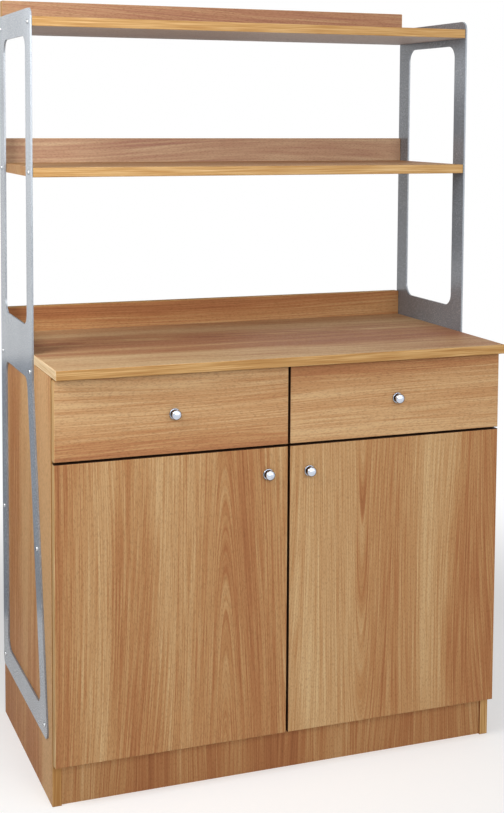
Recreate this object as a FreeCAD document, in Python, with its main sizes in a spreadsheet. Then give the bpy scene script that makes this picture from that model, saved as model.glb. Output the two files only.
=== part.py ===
"""Waiter's service station: a two-door, two-drawer sideboard with an open shelf rack.

The frame is X to the right, Y to the back and Z up, in millimetres. The origin is on the
floor under the middle of the worktop. Pieces of the left half are modelled, and pieces of
the right half are their mirror images.
"""
import FreeCAD, Part
import os
import re

import Sketcher

# Driving sizes: name, value in millimetres, meaning.
SIZES = [
    ("carcass_width", 1000, "over the side panels, and the worktop's length"),
    ("worktop_depth", 539, "front edge to rear edge"),
    ("worktop_thick", 20, "worktop board"),
    ("worktop_overhang", 24, "worktop's front edge ahead of the door faces"),
    ("board_thick", 19, "carcass boards"),
    ("back_thick", 8, "back panel"),
    ("back_inset", 3, "back panel ahead of the carcass rear"),
    ("plinth_height", 90, "floor to the bottom panel"),
    ("plinth_setback", 6.5, "plinth behind the side panels' front edges"),
    ("stretcher_width", 90, "front and rear stretcher, front to back"),
    ("edge_round", 2, "radius of the edge bands"),
    ("front_thick", 19, "door and drawer fronts"),
    ("front_gap", 3.5, "closed fronts to the carcass"),
    ("front_inset", 1.2, "fronts' outer edges inside the carcass ends"),
    ("front_reveal", 4, "gap between neighbouring fronts"),
    ("front_top_gap", 4, "drawer fronts to the worktop"),
    ("door_lift", 89, "floor to the doors' lower edges"),
    ("door_height", 617, "door leaf"),
    ("drawer_front_height", 163, "drawer front"),
    ("inner_shelf_lift", 290, "bottom panel to the inner shelf"),
    ("inner_shelf_setback", 30, "inner shelf behind the carcass front"),
    ("inner_shelf_play", 0.6, "inner shelf to the boards beside it"),
    ("shelf_pin_dia", 5, "shelf pin"),
    ("shelf_pin_length", 16, "shelf pin, half of it in the board"),
    ("shelf_pin_inset", 50, "shelf pins from the inner shelf's front and rear edges"),
    ("shelf_thick", 20, "open shelves"),
    ("shelf_end_gap", 0.5, "open shelves to the side frames"),
    ("lower_shelf_space", 367, "worktop to the middle shelf"),
    ("upper_shelf_space", 288, "middle shelf to the top shelf"),
    ("upstand_thick", 20, "upstand boards"),
    ("worktop_upstand_height", 58, "upstand above the worktop"),
    ("shelf_upstand_height", 55, "upstands above the open shelves"),
    ("frame_thick", 4, "side frame plate"),
    ("frame_depth", 330, "upper part of the side frame, front to back"),
    ("frame_rear_inset", 10, "side frame ahead of the carcass rear"),
    ("frame_rise", 18, "side frame above the top shelf"),
    ("frame_floor_gap", 125, "floor to the side frame"),
    ("upright_width", 50, "uprights and slanted leg of the side frame"),
    ("top_bar_height", 54, "top bar of the side frame"),
    ("foot_bar_height", 51, "foot bar of the side frame"),
    ("waist_rise", 54, "upper window's lower edge above the worktop"),
    ("waist_drop", 56, "lower window's upper edge below the worktop's top"),
    ("leg_drop", 59, "start of the slanted leg below the worktop's top"),
    ("foot_reach", 124, "foot of the slanted leg ahead of the upper frame"),
    ("frame_round", 20, "outer corners of the side frame"),
    ("foot_round", 15, "corners of the side frame's foot"),
    ("window_round", 28, "window corners of the side frame"),
    ("screw_dia", 5, "frame screw shank"),
    ("screw_length", 16, "frame screw in the board"),
    ("screw_play", 0.1, "frame screw to its holes"),
    ("screw_head_dia", 10, "frame screw head"),
    ("screw_head_height", 3, "frame screw head"),
    ("screw_head_bevel", 1.6, "frame screw head's rim"),
    ("screw_inset", 20, "frame screws from the frame's edges"),
    ("worktop_screw_grip", 14, "worktop screws in the worktop"),
    ("worktop_screw_inset", 90, "worktop screws from the boards beside each bay"),
    ("neck_screw_drop", 18.5, "upper carcass screws below the worktop"),
    ("leg_screw_height", 500, "middle carcass screws above the floor"),
    ("drawer_board_thick", 15, "drawer sides, back and inner front"),
    ("drawer_bottom_thick", 8, "drawer bottom"),
    ("drawer_lift", 14, "drawer box above the drawer front's lower edge"),
    ("drawer_drop", 39, "drawer box below the drawer front's upper edge"),
    ("drawer_rear_gap", 38, "drawer box to the back panel"),
    ("groove_lift", 10, "groove above the drawer box's lower edge"),
    ("groove_depth", 6, "groove for the drawer bottom"),
    ("groove_play", 0.2, "drawer bottom in its groove"),
    ("rail_space", 13, "drawer box to the boards beside it"),
    ("rail_height", 45, "cabinet rail"),
    ("rail_reach", 9, "flanges of the cabinet and middle rails"),
    ("rail_thick", 1.2, "rail sheet"),
    ("rail_play", 0.3, "rail in rail"),
    ("rail_setback", 3, "rails behind the carcass front"),
    ("rail_end_gap", 4, "rails short of the drawer box's rear"),
    ("knob_base_dia", 23, "knob's rose"),
    ("knob_base_thick", 3, "knob's rose"),
    ("knob_neck_dia", 10, "knob's neck"),
    ("knob_neck_length", 6, "rose to head"),
    ("knob_flare", 2, "underside of the knob's head"),
    ("knob_head_dia", 20, "knob's head"),
    ("knob_head_thick", 9, "knob's head from the flare"),
    ("knob_rim", 4, "upright rim of the knob's head"),
    ("knob_shoulder_dia", 16.4, "knob's dome, half way in"),
    ("knob_shoulder_drop", 1.6, "knob's dome, half way in, below the face"),
    ("knob_face_dia", 10, "flat face of the knob"),
    ("knob_screw_dia", 4, "knob screw shank"),
    ("knob_screw_grip", 10, "knob screw in the knob"),
    ("knob_screw_play", 0.1, "knob screw to its holes"),
    ("knob_screw_head_dia", 8, "knob screw head"),
    ("knob_screw_head_height", 2.5, "knob screw head"),
    ("door_knob_inset", 44.5, "door knob from the door's free edge"),
    ("door_knob_drop", 56, "door knob below the door's upper edge"),
    ("hinge_inset", 90, "hinges from the door's upper and lower edges"),
    ("cup_dia", 35, "hinge cup"),
    ("cup_depth", 12.4, "hinge cup in the door"),
    ("cup_wall", 0.9, "hinge cup's sheet"),
    ("cup_edge", 3, "hinge cup from the door's outer edge"),
    ("cup_play", 0.1, "hinge cup in its bore"),
    ("cup_ear_height", 62, "ears of the hinge cup, end to end"),
    ("cup_ear_width", 22, "ears of the hinge cup"),
    ("cup_ear_thick", 1, "ears of the hinge cup"),
    ("cup_ear_round", 8, "corners of the ears"),
    ("hinge_pin_dia", 2.5, "hinge pin"),
    ("hinge_pin_play", 0.05, "hinge pin in the arm and in the lugs"),
    ("hinge_pin_edge", 7, "hinge pin from the door's outer edge"),
    ("hinge_pin_depth", 9, "hinge pin behind the door's rear face"),
    ("lug_width", 4.4, "lugs round the hinge pin"),
    ("lug_thick", 2.1, "lugs, along the pin"),
    ("knuckle_dia", 4, "arm's knuckle on the hinge pin"),
    ("knuckle_width", 8.4, "arm's knuckle, along the pin"),
    ("knuckle_play", 0.2, "knuckle between the lugs"),
    ("arm_thick", 2.4, "hinge arm's sheet"),
    ("arm_reach", 56, "hinge arm behind the carcass front"),
    ("arm_width", 14, "hinge arm on its plate"),
    ("arm_step", 12, "wide part of the hinge arm behind the carcass front"),
    ("hinge_plate_thick", 2.2, "hinge plate"),
    ("hinge_plate_start", 8, "hinge plate behind the carcass front"),
    ("hinge_plate_screw_line", 37, "wings of the hinge plate behind the carcass front"),
    ("hinge_wing_width", 12, "wings of the hinge plate"),
    ("hinge_wing_height", 46, "wings of the hinge plate, end to end"),
    ("hinge_wing_round", 4, "corners of the hinge plate's wings"),
]
NAMES = {name for name, _, _ in SIZES}

# Places worked out from the driving sizes.
END_X = "(carcass_width / 2)"
INNER_X = f"({END_X} - board_thick)"
REAR_Y = "(worktop_depth / 2)"
FRONT_Y = f"(worktop_overhang - {REAR_Y})"
LEAF_REAR_Y = f"({FRONT_Y} + front_thick)"
CARCASS_Y = f"({LEAF_REAR_Y} + front_gap)"
BACK_Y = f"({REAR_Y} - back_inset - back_thick)"
CARCASS_DEPTH = f"({REAR_Y} - {CARCASS_Y})"
DOOR_TOP = "(door_lift + door_height)"
DRAWER_Z = f"({DOOR_TOP} + front_reveal)"
CARCASS_TOP = f"({DRAWER_Z} + drawer_front_height + front_top_gap)"
WORKTOP_TOP = f"({CARCASS_TOP} + worktop_thick)"
MIDDLE_TOP = f"({WORKTOP_TOP} + lower_shelf_space + shelf_thick)"
RACK_TOP = f"({MIDDLE_TOP} + upper_shelf_space + shelf_thick)"
FLOOR_BOARD_TOP = "(plinth_height + board_thick)"
STRETCHER_Z = f"({CARCASS_TOP} - board_thick)"
LEAF_WIDTH = f"({END_X} - front_inset - front_reveal / 2)"
BAY_WIDTH = f"({INNER_X} - board_thick / 2)"

FRAME_REAR_Y = f"({REAR_Y} - frame_rear_inset)"
FRAME_FRONT_Y = f"({FRAME_REAR_Y} - frame_depth)"
FRAME_TOP = f"({RACK_TOP} + frame_rise)"
LEG_TOP = f"({WORKTOP_TOP} - leg_drop)"
LEG_SLOPE = f"(foot_reach / ({LEG_TOP} - frame_floor_gap))"

SHELF_Z = f"({FLOOR_BOARD_TOP} + inner_shelf_lift)"
SHELF_Y = f"({CARCASS_Y} + inner_shelf_setback)"
PIN_Z = f"({SHELF_Z} - shelf_pin_dia / 2)"
PIN_Y = (f"({SHELF_Y} + shelf_pin_inset)", f"({BACK_Y} - shelf_pin_inset)")

BOX_Z = f"({DRAWER_Z} + drawer_lift)"
BOX_HEIGHT = "(drawer_front_height - drawer_lift - drawer_drop)"
BOX_DEPTH = f"({BACK_Y} - drawer_rear_gap - {LEAF_REAR_Y})"
BOX_WIDTH = f"({BAY_WIDTH} - 2 * rail_space)"
BOX_INNER_WIDTH = f"({BOX_WIDTH} - 2 * drawer_board_thick)"
GROOVE_TOP = "(groove_lift + drawer_bottom_thick + 2 * groove_play)"
RAIL_Y = f"({CARCASS_Y} + rail_setback)"
RAIL_LENGTH = f"({LEAF_REAR_Y} + {BOX_DEPTH} - rail_end_gap - {RAIL_Y})"
RAIL_Z = f"({BOX_Z} + {BOX_HEIGHT} / 2)"

DRAWER_KNOB_X = f"(-front_reveal / 2 - {LEAF_WIDTH} / 2)"
DRAWER_KNOB_Z = f"({DRAWER_Z} + drawer_front_height / 2)"
DOOR_KNOB_X = "(-front_reveal / 2 - door_knob_inset)"
DOOR_KNOB_Z = f"({DOOR_TOP} - door_knob_drop)"

LEAF_OUTER_X = f"(front_inset - {END_X})"
CUP_X = f"({LEAF_OUTER_X} + cup_edge + cup_dia / 2)"
HINGE_Z = "(door_lift + hinge_inset)"
HINGE_SPACING = "(door_height - 2 * hinge_inset)"
PIN_X = f"({LEAF_OUTER_X} + hinge_pin_edge)"
HINGE_PIN_Y = f"({LEAF_REAR_Y} - hinge_pin_depth)"
ARM_X = f"(-{INNER_X} + hinge_plate_thick)"

doc = FreeCAD.newDocument("service_station")
sheet = doc.addObject("Spreadsheet::Sheet", "Sizes")
for row, (name, value, meaning) in enumerate(SIZES, start=1):
    sheet.set(f"A{row}", name)
    sheet.set(f"B{row}", str(value))
    sheet.setAlias(f"B{row}", name)
    sheet.set(f"C{row}", meaning)
doc.recompute()

nodes = {}


def formula(text):
    """Returns the text with each size's name pointing at its cell."""
    return re.sub(r"[a-z_]+", lambda m: f"Sizes.{m[0]}" if m[0] in NAMES else m[0], text)


def number(text):
    """Returns a formula's present value."""
    return float(sheet.evalExpression(formula(text)))


def tie(item, place, text):
    """Binds one property of an object to a formula of the sheet's sizes."""
    item.setExpression(place, formula(text))


def new_body(label, x="0", y="0", z="0", half_turn=False):
    """Returns an empty body at a place, turned half round the upright axis where asked."""
    body = doc.addObject("PartDesign::Body", label)
    body.Label = label
    if half_turn:
        upright = FreeCAD.Vector(0, 0, 1)
        body.Placement = FreeCAD.Placement(FreeCAD.Vector(), FreeCAD.Rotation(upright, 180))
    for axis, text in zip("xyz", (x, y, z)):
        tie(body, f"Placement.Base.{axis}", text)
    nodes[label] = body
    return body


def origin_part(body, role):
    """Returns one of the body's origin planes or axes."""
    return next(part for part in body.Origin.OriginFeatures if part.Role == role)


def new_sketch(body, plane, lift="0"):
    """Returns a sketch on an origin plane, lifted along the plane's normal."""
    sketch = body.newObject("Sketcher::SketchObject", "Sketch")
    sketch.AttachmentSupport = [(origin_part(body, plane), "")]
    sketch.MapMode = "FlatFace"
    tie(sketch, "AttachmentOffset.Base.z", lift)
    return sketch


def pin_point(sketch, geometry, point, across, up):
    """Fixes a sketch point at two formulas from the sketch's origin."""
    for kind, text in (("DistanceX", across), ("DistanceY", up)):
        distance = Sketcher.Constraint(kind, -1, 1, geometry, point, number(text))
        index = sketch.addConstraint(distance)
        tie(sketch, f"Constraints[{index}]", text)


def add_polygon(sketch, corners):
    """Draws a closed outline through corners given as pairs of formulas."""
    places = [FreeCAD.Vector(number(across), number(up), 0) for across, up in corners]
    first = sketch.GeometryCount
    count = len(corners)
    for i in range(count):
        sketch.addGeometry(Part.LineSegment(places[i], places[(i + 1) % count]))
    for i in range(count):
        after = first + (i + 1) % count
        sketch.addConstraint(Sketcher.Constraint("Coincident", first + i, 2, after, 1))
    for i, (across, up) in enumerate(corners):
        pin_point(sketch, first + i, 1, across, up)


def add_rectangle(sketch, left, low, right, high):
    """Draws a rectangle between two pairs of formulas."""
    add_polygon(sketch, [(left, low), (right, low), (right, high), (left, high)])


def add_circle(sketch, across, up, diameter):
    """Draws a circle with its centre and diameter tied to formulas."""
    centre = FreeCAD.Vector(number(across), number(up), 0)
    radius = number(diameter) / 2
    index = sketch.addGeometry(Part.Circle(centre, FreeCAD.Vector(0, 0, 1), radius))
    pin_point(sketch, index, 3, across, up)
    limit = sketch.addConstraint(Sketcher.Constraint("Diameter", index, number(diameter)))
    tie(sketch, f"Constraints[{limit}]", diameter)


def pad(sketch, length, symmetric=False, backwards=False):
    """Adds the sketch's outline to its body as a solid of a length."""
    body = sketch.getParentGeoFeatureGroup()
    feature = body.newObject("PartDesign::Pad", "Pad")
    feature.Profile = sketch
    feature.SideType = "Symmetric" if symmetric else "One side"
    feature.Reversed = backwards
    tie(feature, "Length", length)
    doc.recompute()
    return feature


def pocket(sketch, length, symmetric=False, backwards=False):
    """Cuts the sketch's outline out of its body and makes sure that something is cut."""
    body = sketch.getParentGeoFeatureGroup()
    before = body.Shape.Volume
    feature = body.newObject("PartDesign::Pocket", "Pocket")
    feature.Profile = sketch
    feature.SideType = "Symmetric" if symmetric else "One side"
    feature.Reversed = backwards
    tie(feature, "Length", length)
    doc.recompute()
    if body.Shape.Volume >= before:
        raise ValueError(f"{body.Label}: the pocket cuts nothing")
    return feature


def revolve(sketch):
    """Turns the sketch's outline round its upright axis."""
    body = sketch.getParentGeoFeatureGroup()
    feature = body.newObject("PartDesign::Revolution", "Revolution")
    feature.Profile = sketch
    feature.ReferenceAxis = (sketch, ["V_Axis"])
    feature.Angle = 360
    doc.recompute()
    return feature


def repeat_upwards(body, spacing):
    """Repeats the body's whole shape once, a spacing higher."""
    pattern = body.newObject("PartDesign::LinearPattern", "LinearPattern")
    pattern.TransformMode = "Whole shape"
    pattern.Direction = (origin_part(body, "Z_Axis"), [""])
    pattern.Occurrences = 2
    tie(pattern, "Length", spacing)
    body.Tip = pattern
    doc.recompute()


def edges_where(feature, wanted, along=None):
    """Names the feature's edges whose end points all pass a test.

    With an axis given, only edges that run along it count.
    """
    names = []
    for i, edge in enumerate(feature.Shape.Edges, start=1):
        points = [vertex.Point for vertex in edge.Vertexes]
        if not all(wanted(point) for point in points):
            continue
        if along and near(getattr(points[0], along), getattr(points[-1], along)):
            continue
        names.append(f"Edge{i}")
    return names


def round_edges(feature, names, radius):
    """Rounds named edges of a feature."""
    body = feature.getParentGeoFeatureGroup()
    fillet = body.newObject("PartDesign::Fillet", "Fillet")
    fillet.Base = (feature, names)
    tie(fillet, "Radius", radius)
    doc.recompute()
    return fillet


def bevel_edges(feature, names, size):
    """Bevels named edges of a feature."""
    body = feature.getParentGeoFeatureGroup()
    bevel = body.newObject("PartDesign::Chamfer", "Chamfer")
    bevel.Base = (feature, names)
    tie(bevel, "Size", size)
    doc.recompute()
    return bevel


def near(a, b):
    """Tells whether two lengths are the same."""
    return abs(a - b) < 0.001


def board(label, x, y, z, wide, deep, high):
    """Makes a plain board between a corner and its three sizes."""
    body = new_body(label, x, y, z)
    sketch = new_sketch(body, "XY_Plane")
    add_rectangle(sketch, "0", "0", wide, deep)
    return pad(sketch, high)


def round_front(feature):
    """Rounds the edges all round a board's front face."""
    return round_edges(feature, edges_where(feature, lambda p: near(p.y, 0)), "edge_round")


def round_rim(feature, thick):
    """Rounds the edges all round a level board's upper and lower face."""
    top = number(thick)
    names = edges_where(feature, lambda p: near(p.z, 0))
    names += edges_where(feature, lambda p: near(p.z, top))
    return round_edges(feature, names, "edge_round")


def mirror_to_right(label):
    """Makes the right-hand twin of a left-hand piece."""
    twin = doc.addObject("Part::Mirroring", label.replace("left", "right", 1))
    twin.Label = label.replace("left", "right", 1)
    twin.Source = nodes[label]
    twin.Normal = (1, 0, 0)
    nodes[twin.Label] = twin


# Carcass boards.
side = board("left_side_panel", f"-{END_X}", CARCASS_Y, "0",
             "board_thick", CARCASS_DEPTH, CARCASS_TOP)
round_front(side)
board("bottom_panel", f"-{INNER_X}", CARCASS_Y, "plinth_height",
      f"2 * {INNER_X}", f"{BACK_Y} - {CARCASS_Y}", "board_thick")
board("plinth", f"-{INNER_X}", f"{CARCASS_Y} + plinth_setback", "0",
      f"2 * {INNER_X}", "board_thick", "plinth_height")
board("back_panel", f"-{INNER_X}", BACK_Y, "plinth_height",
      f"2 * {INNER_X}", "back_thick", f"{CARCASS_TOP} - plinth_height")
board("front_stretcher", f"-{INNER_X}", CARCASS_Y, STRETCHER_Z,
      f"2 * {INNER_X}", "stretcher_width", "board_thick")
board("rear_stretcher", f"-{INNER_X}", f"{BACK_Y} - stretcher_width", STRETCHER_Z,
      f"2 * {INNER_X}", "stretcher_width", "board_thick")
board("centre_partition", "-board_thick / 2", CARCASS_Y, FLOOR_BOARD_TOP,
      "board_thick", f"{BACK_Y} - {CARCASS_Y}", f"{STRETCHER_Z} - {FLOOR_BOARD_TOP}")

# Worktop, open shelves and the upstands along their rear edges.
slab = board("worktop", f"-{END_X}", f"-{REAR_Y}", CARCASS_TOP,
             "carcass_width", "worktop_depth", "worktop_thick")
round_rim(slab, "worktop_thick")
SHELF_LENGTH = "(carcass_width - 2 * shelf_end_gap)"
SHELF_DEPTH = f"({REAR_Y} - {FRAME_FRONT_Y})"
for label, top in (("middle_shelf", MIDDLE_TOP), ("top_shelf", RACK_TOP)):
    slab = board(label, f"-{SHELF_LENGTH} / 2", FRAME_FRONT_Y, f"{top} - shelf_thick",
                 SHELF_LENGTH, SHELF_DEPTH, "shelf_thick")
    round_front(slab)
UPSTANDS = (
    ("worktop_upstand", WORKTOP_TOP, "worktop_upstand_height"),
    ("middle_shelf_upstand", MIDDLE_TOP, "shelf_upstand_height"),
    ("top_shelf_upstand", RACK_TOP, "shelf_upstand_height"),
)
for label, foot, high in UPSTANDS:
    strip = board(label, f"-{SHELF_LENGTH} / 2", f"{REAR_Y} - upstand_thick", foot,
                  SHELF_LENGTH, "upstand_thick", high)
    rim = number(high)
    round_edges(strip, edges_where(strip, lambda p: near(p.z, rim)), "edge_round")

# Inner shelf on its pins, and the holes for the pins.
board("left_inner_shelf", f"-{INNER_X} + inner_shelf_play", SHELF_Y, SHELF_Z,
      f"{BAY_WIDTH} - 2 * inner_shelf_play", f"{BACK_Y} - {SHELF_Y}", "board_thick")
body = new_body("left_shelf_pins")
for face_x in (f"-{INNER_X}", "-board_thick / 2"):
    sketch = new_sketch(body, "YZ_Plane", face_x)
    for y in PIN_Y:
        add_circle(sketch, y, PIN_Z, "shelf_pin_dia")
    pad(sketch, "shelf_pin_length", symmetric=True)
PIN_HOLE = "shelf_pin_dia + 2 * screw_play"
sketch = new_sketch(nodes["left_side_panel"], "YZ_Plane",
                    "board_thick - shelf_pin_length / 2 - screw_play")
for y in PIN_Y:
    add_circle(sketch, f"{y} - {CARCASS_Y}", PIN_Z, PIN_HOLE)
pocket(sketch, "shelf_pin_length", backwards=True)
partition = nodes["centre_partition"]
for mouth, backwards in (("shelf_pin_length / 2 + screw_play", False),
                         ("board_thick - shelf_pin_length / 2 - screw_play", True)):
    sketch = new_sketch(partition, "YZ_Plane", mouth)
    for y in PIN_Y:
        add_circle(sketch, f"{y} - {CARCASS_Y}", f"{PIN_Z} - {FLOOR_BOARD_TOP}", PIN_HOLE)
    pocket(sketch, "shelf_pin_length", backwards=backwards)


def leg_front(z):
    """Returns the front edge of the slanted leg at a height."""
    return f"({FRAME_FRONT_Y} - ({LEG_TOP} - ({z})) * {LEG_SLOPE})"


# Side frame: one plate with a straight upper part, a slanted front leg and two windows.
UPPER_LOW = f"({WORKTOP_TOP} + waist_rise)"
UPPER_HIGH = f"({FRAME_TOP} - top_bar_height)"
LOWER_LOW = "(frame_floor_gap + foot_bar_height)"
LOWER_HIGH = f"({WORKTOP_TOP} - waist_drop)"
WINDOW_REAR = f"({FRAME_REAR_Y} - upright_width)"
WINDOW_FRONT = f"({FRAME_FRONT_Y} + upright_width)"
OUTLINE = [
    (FRAME_REAR_Y, "frame_floor_gap"),
    (FRAME_REAR_Y, FRAME_TOP),
    (FRAME_FRONT_Y, FRAME_TOP),
    (FRAME_FRONT_Y, LEG_TOP),
    (leg_front("frame_floor_gap"), "frame_floor_gap"),
]
UPPER_WINDOW = [
    (WINDOW_REAR, UPPER_LOW),
    (WINDOW_REAR, UPPER_HIGH),
    (WINDOW_FRONT, UPPER_HIGH),
    (WINDOW_FRONT, UPPER_LOW),
]
LOWER_WINDOW = [
    (WINDOW_REAR, LOWER_LOW),
    (WINDOW_REAR, LOWER_HIGH),
    (f"{leg_front(LOWER_HIGH)} + upright_width", LOWER_HIGH),
    (f"{leg_front(LOWER_LOW)} + upright_width", LOWER_LOW),
]


def corner_edges(feature, corners):
    """Names the plate's edges that run through its thickness at given corners."""
    places = [(number(y), number(z)) for y, z in corners]

    def wanted(p):
        return any(near(p.y, y) and near(p.z, z) for y, z in places)
    return edges_where(feature, wanted, along="x")


body = new_body("left_side_frame", f"-{END_X} - frame_thick")
sketch = new_sketch(body, "YZ_Plane")
for outline in (OUTLINE, UPPER_WINDOW, LOWER_WINDOW):
    add_polygon(sketch, outline)
plate = pad(sketch, "frame_thick")
plate = round_edges(plate, corner_edges(plate, UPPER_WINDOW + LOWER_WINDOW), "window_round")
plate = round_edges(plate, corner_edges(plate, OUTLINE[1:3]), "frame_round")
plate = round_edges(plate, corner_edges(plate, [OUTLINE[0], OUTLINE[4]]), "foot_round")

# Frame screws: two in each open shelf's end and six in the side panel.
FOOT_SCREW_Z = "(frame_floor_gap + foot_bar_height / 2)"
SHELF_SCREW_Z = (f"({RACK_TOP} - shelf_thick / 2)", f"({MIDDLE_TOP} - shelf_thick / 2)")
PANEL_SCREW_Z = (f"({CARCASS_TOP} - neck_screw_drop)", "leg_screw_height", FOOT_SCREW_Z)
REAR_SCREW_Y = f"({FRAME_REAR_Y} - screw_inset)"
FRONT_SCREW_Y = f"({FRAME_FRONT_Y} + screw_inset)"
SHELF_SCREWS = [(y, z) for z in SHELF_SCREW_Z for y in (REAR_SCREW_Y, FRONT_SCREW_Y)]
PANEL_SCREWS = [(REAR_SCREW_Y, z) for z in PANEL_SCREW_Z]
PANEL_SCREWS += [(FRONT_SCREW_Y, PANEL_SCREW_Z[0])]
PANEL_SCREWS += [(f"{leg_front(z)} + screw_inset", z) for z in PANEL_SCREW_Z[1:]]
SCREW_HOLE = "screw_dia + 2 * screw_play"

sketch = new_sketch(body, "YZ_Plane")
for y, z in SHELF_SCREWS + PANEL_SCREWS:
    add_circle(sketch, y, z, SCREW_HOLE)
pocket(sketch, "frame_thick", backwards=True)

body = new_body("left_frame_screws", f"-{END_X} - frame_thick")
heads = new_sketch(body, "YZ_Plane")
shanks = new_sketch(body, "YZ_Plane")
for y, z in SHELF_SCREWS + PANEL_SCREWS:
    add_circle(heads, y, z, "screw_head_dia")
    add_circle(shanks, y, z, "screw_dia")
caps = pad(heads, "screw_head_height", backwards=True)
crown = -number("screw_head_height")
bevel_edges(caps, edges_where(caps, lambda p: near(p.x, crown)), "screw_head_bevel")
pad(shanks, "frame_thick + screw_length")

sketch = new_sketch(nodes["left_side_panel"], "YZ_Plane")
for y, z in PANEL_SCREWS:
    add_circle(sketch, f"{y} - {CARCASS_Y}", z, SCREW_HOLE)
pocket(sketch, "screw_length + screw_play", backwards=True)
for label, z in zip(("top_shelf", "middle_shelf"), SHELF_SCREW_Z):
    for lift, backwards in (("0", True), (SHELF_LENGTH, False)):
        sketch = new_sketch(nodes[label], "YZ_Plane", lift)
        for y in (REAR_SCREW_Y, FRONT_SCREW_Y):
            add_circle(sketch, f"{y} - {FRAME_FRONT_Y}", "shelf_thick / 2", SCREW_HOLE)
        pocket(sketch, "screw_length + screw_play", backwards=backwards)

# Worktop screws: up through both stretchers, two for each bay.
BAY_ENDS = (f"({INNER_X} - worktop_screw_inset)", "(board_thick / 2 + worktop_screw_inset)")
STRETCHER_MIDDLES = {
    "front_stretcher": f"({CARCASS_Y} + stretcher_width / 2)",
    "rear_stretcher": f"({BACK_Y} - stretcher_width / 2)",
}
WORKTOP_SCREW_X = [f"{sign}{x}" for x in BAY_ENDS for sign in ("-", "")]

body = new_body("worktop_screws", z=STRETCHER_Z)
heads = new_sketch(body, "XY_Plane")
shanks = new_sketch(body, "XY_Plane")
blind = new_sketch(nodes["worktop"], "XY_Plane")
for label, y in STRETCHER_MIDDLES.items():
    through = new_sketch(nodes[label], "XY_Plane")
    for x in WORKTOP_SCREW_X:
        add_circle(heads, x, y, "screw_head_dia")
        add_circle(shanks, x, y, "screw_dia")
        add_circle(through, f"{x} + {INNER_X}", "stretcher_width / 2", SCREW_HOLE)
        add_circle(blind, f"{x} + {END_X}", f"{y} + {REAR_Y}", SCREW_HOLE)
    pocket(through, "board_thick", backwards=True)
pocket(blind, "worktop_screw_grip + screw_play", backwards=True)
caps = pad(heads, "screw_head_height", backwards=True)
crown = -number("screw_head_height")
bevel_edges(caps, edges_where(caps, lambda p: near(p.z, crown)), "screw_head_bevel")
pad(shanks, "board_thick + worktop_screw_grip")


def knob_hole(body, x, z, depth):
    """Drills a board for a knob's screw at a place on its front face."""
    sketch = new_sketch(body, "XZ_Plane")
    add_circle(sketch, x, z, "knob_screw_dia + 2 * knob_screw_play")
    pocket(sketch, depth)


def knob(prefix, x, z, grip):
    """Makes a turned knob on a front and its screw from behind."""
    body = new_body(f"{prefix}_knob", x, FRONT_Y, z, half_turn=True)
    flare = "knob_base_thick + knob_neck_length"
    base, neck, head = [f"knob_{name}_dia / 2" for name in ("base", "neck", "head")]
    bore = "knob_screw_dia / 2 + knob_screw_play"
    bottom = "knob_screw_grip + knob_screw_play"
    tip = f"{flare} + knob_flare + knob_head_thick"
    profile = new_sketch(body, "XY_Plane")
    add_polygon(profile, [
        (bore, "0"), (base, "0"), (base, "knob_base_thick / 2"), (neck, "knob_base_thick"),
        (neck, flare), (head, f"{flare} + knob_flare"), (head, f"{flare} + knob_flare + knob_rim"),
        ("knob_shoulder_dia / 2", f"{tip} - knob_shoulder_drop"), ("knob_face_dia / 2", tip),
        ("0", tip), ("0", bottom), (bore, bottom),
    ])
    revolve(profile)

    body = new_body(f"{prefix}_knob_screw", x, f"{FRONT_Y} + {grip}", z, half_turn=True)
    shank = new_sketch(body, "XZ_Plane")
    add_circle(shank, "0", "0", "knob_screw_dia")
    pad(shank, f"{grip} + knob_screw_grip", backwards=True)
    head_sketch = new_sketch(body, "XZ_Plane")
    add_circle(head_sketch, "0", "0", "knob_screw_head_dia")
    pad(head_sketch, "knob_screw_head_height")


# Left drawer: a grooved box behind a full overlay front.
face = board("left_drawer_front", LEAF_OUTER_X, FRONT_Y, DRAWER_Z,
             LEAF_WIDTH, "front_thick", "drawer_front_height")
round_front(face)
knob_hole(nodes["left_drawer_front"], f"{LEAF_WIDTH} / 2", "drawer_front_height / 2", "front_thick")

GROOVED = [
    ("0", "0"), ("drawer_board_thick", "0"), ("drawer_board_thick", "groove_lift"),
    ("drawer_board_thick - groove_depth", "groove_lift"),
    ("drawer_board_thick - groove_depth", GROOVE_TOP),
    ("drawer_board_thick", GROOVE_TOP), ("drawer_board_thick", BOX_HEIGHT), ("0", BOX_HEIGHT),
]


def grooved_board(label, x, y, section_plane, flipped, length, backwards):
    """Makes a drawer board with the groove for the bottom on one face."""
    body = new_body(label, x, y, BOX_Z)
    sketch = new_sketch(body, section_plane)
    corners = [(f"drawer_board_thick - ({a})", b) for a, b in GROOVED] if flipped else GROOVED
    add_polygon(sketch, corners)
    pad(sketch, length, backwards=backwards)


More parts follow.
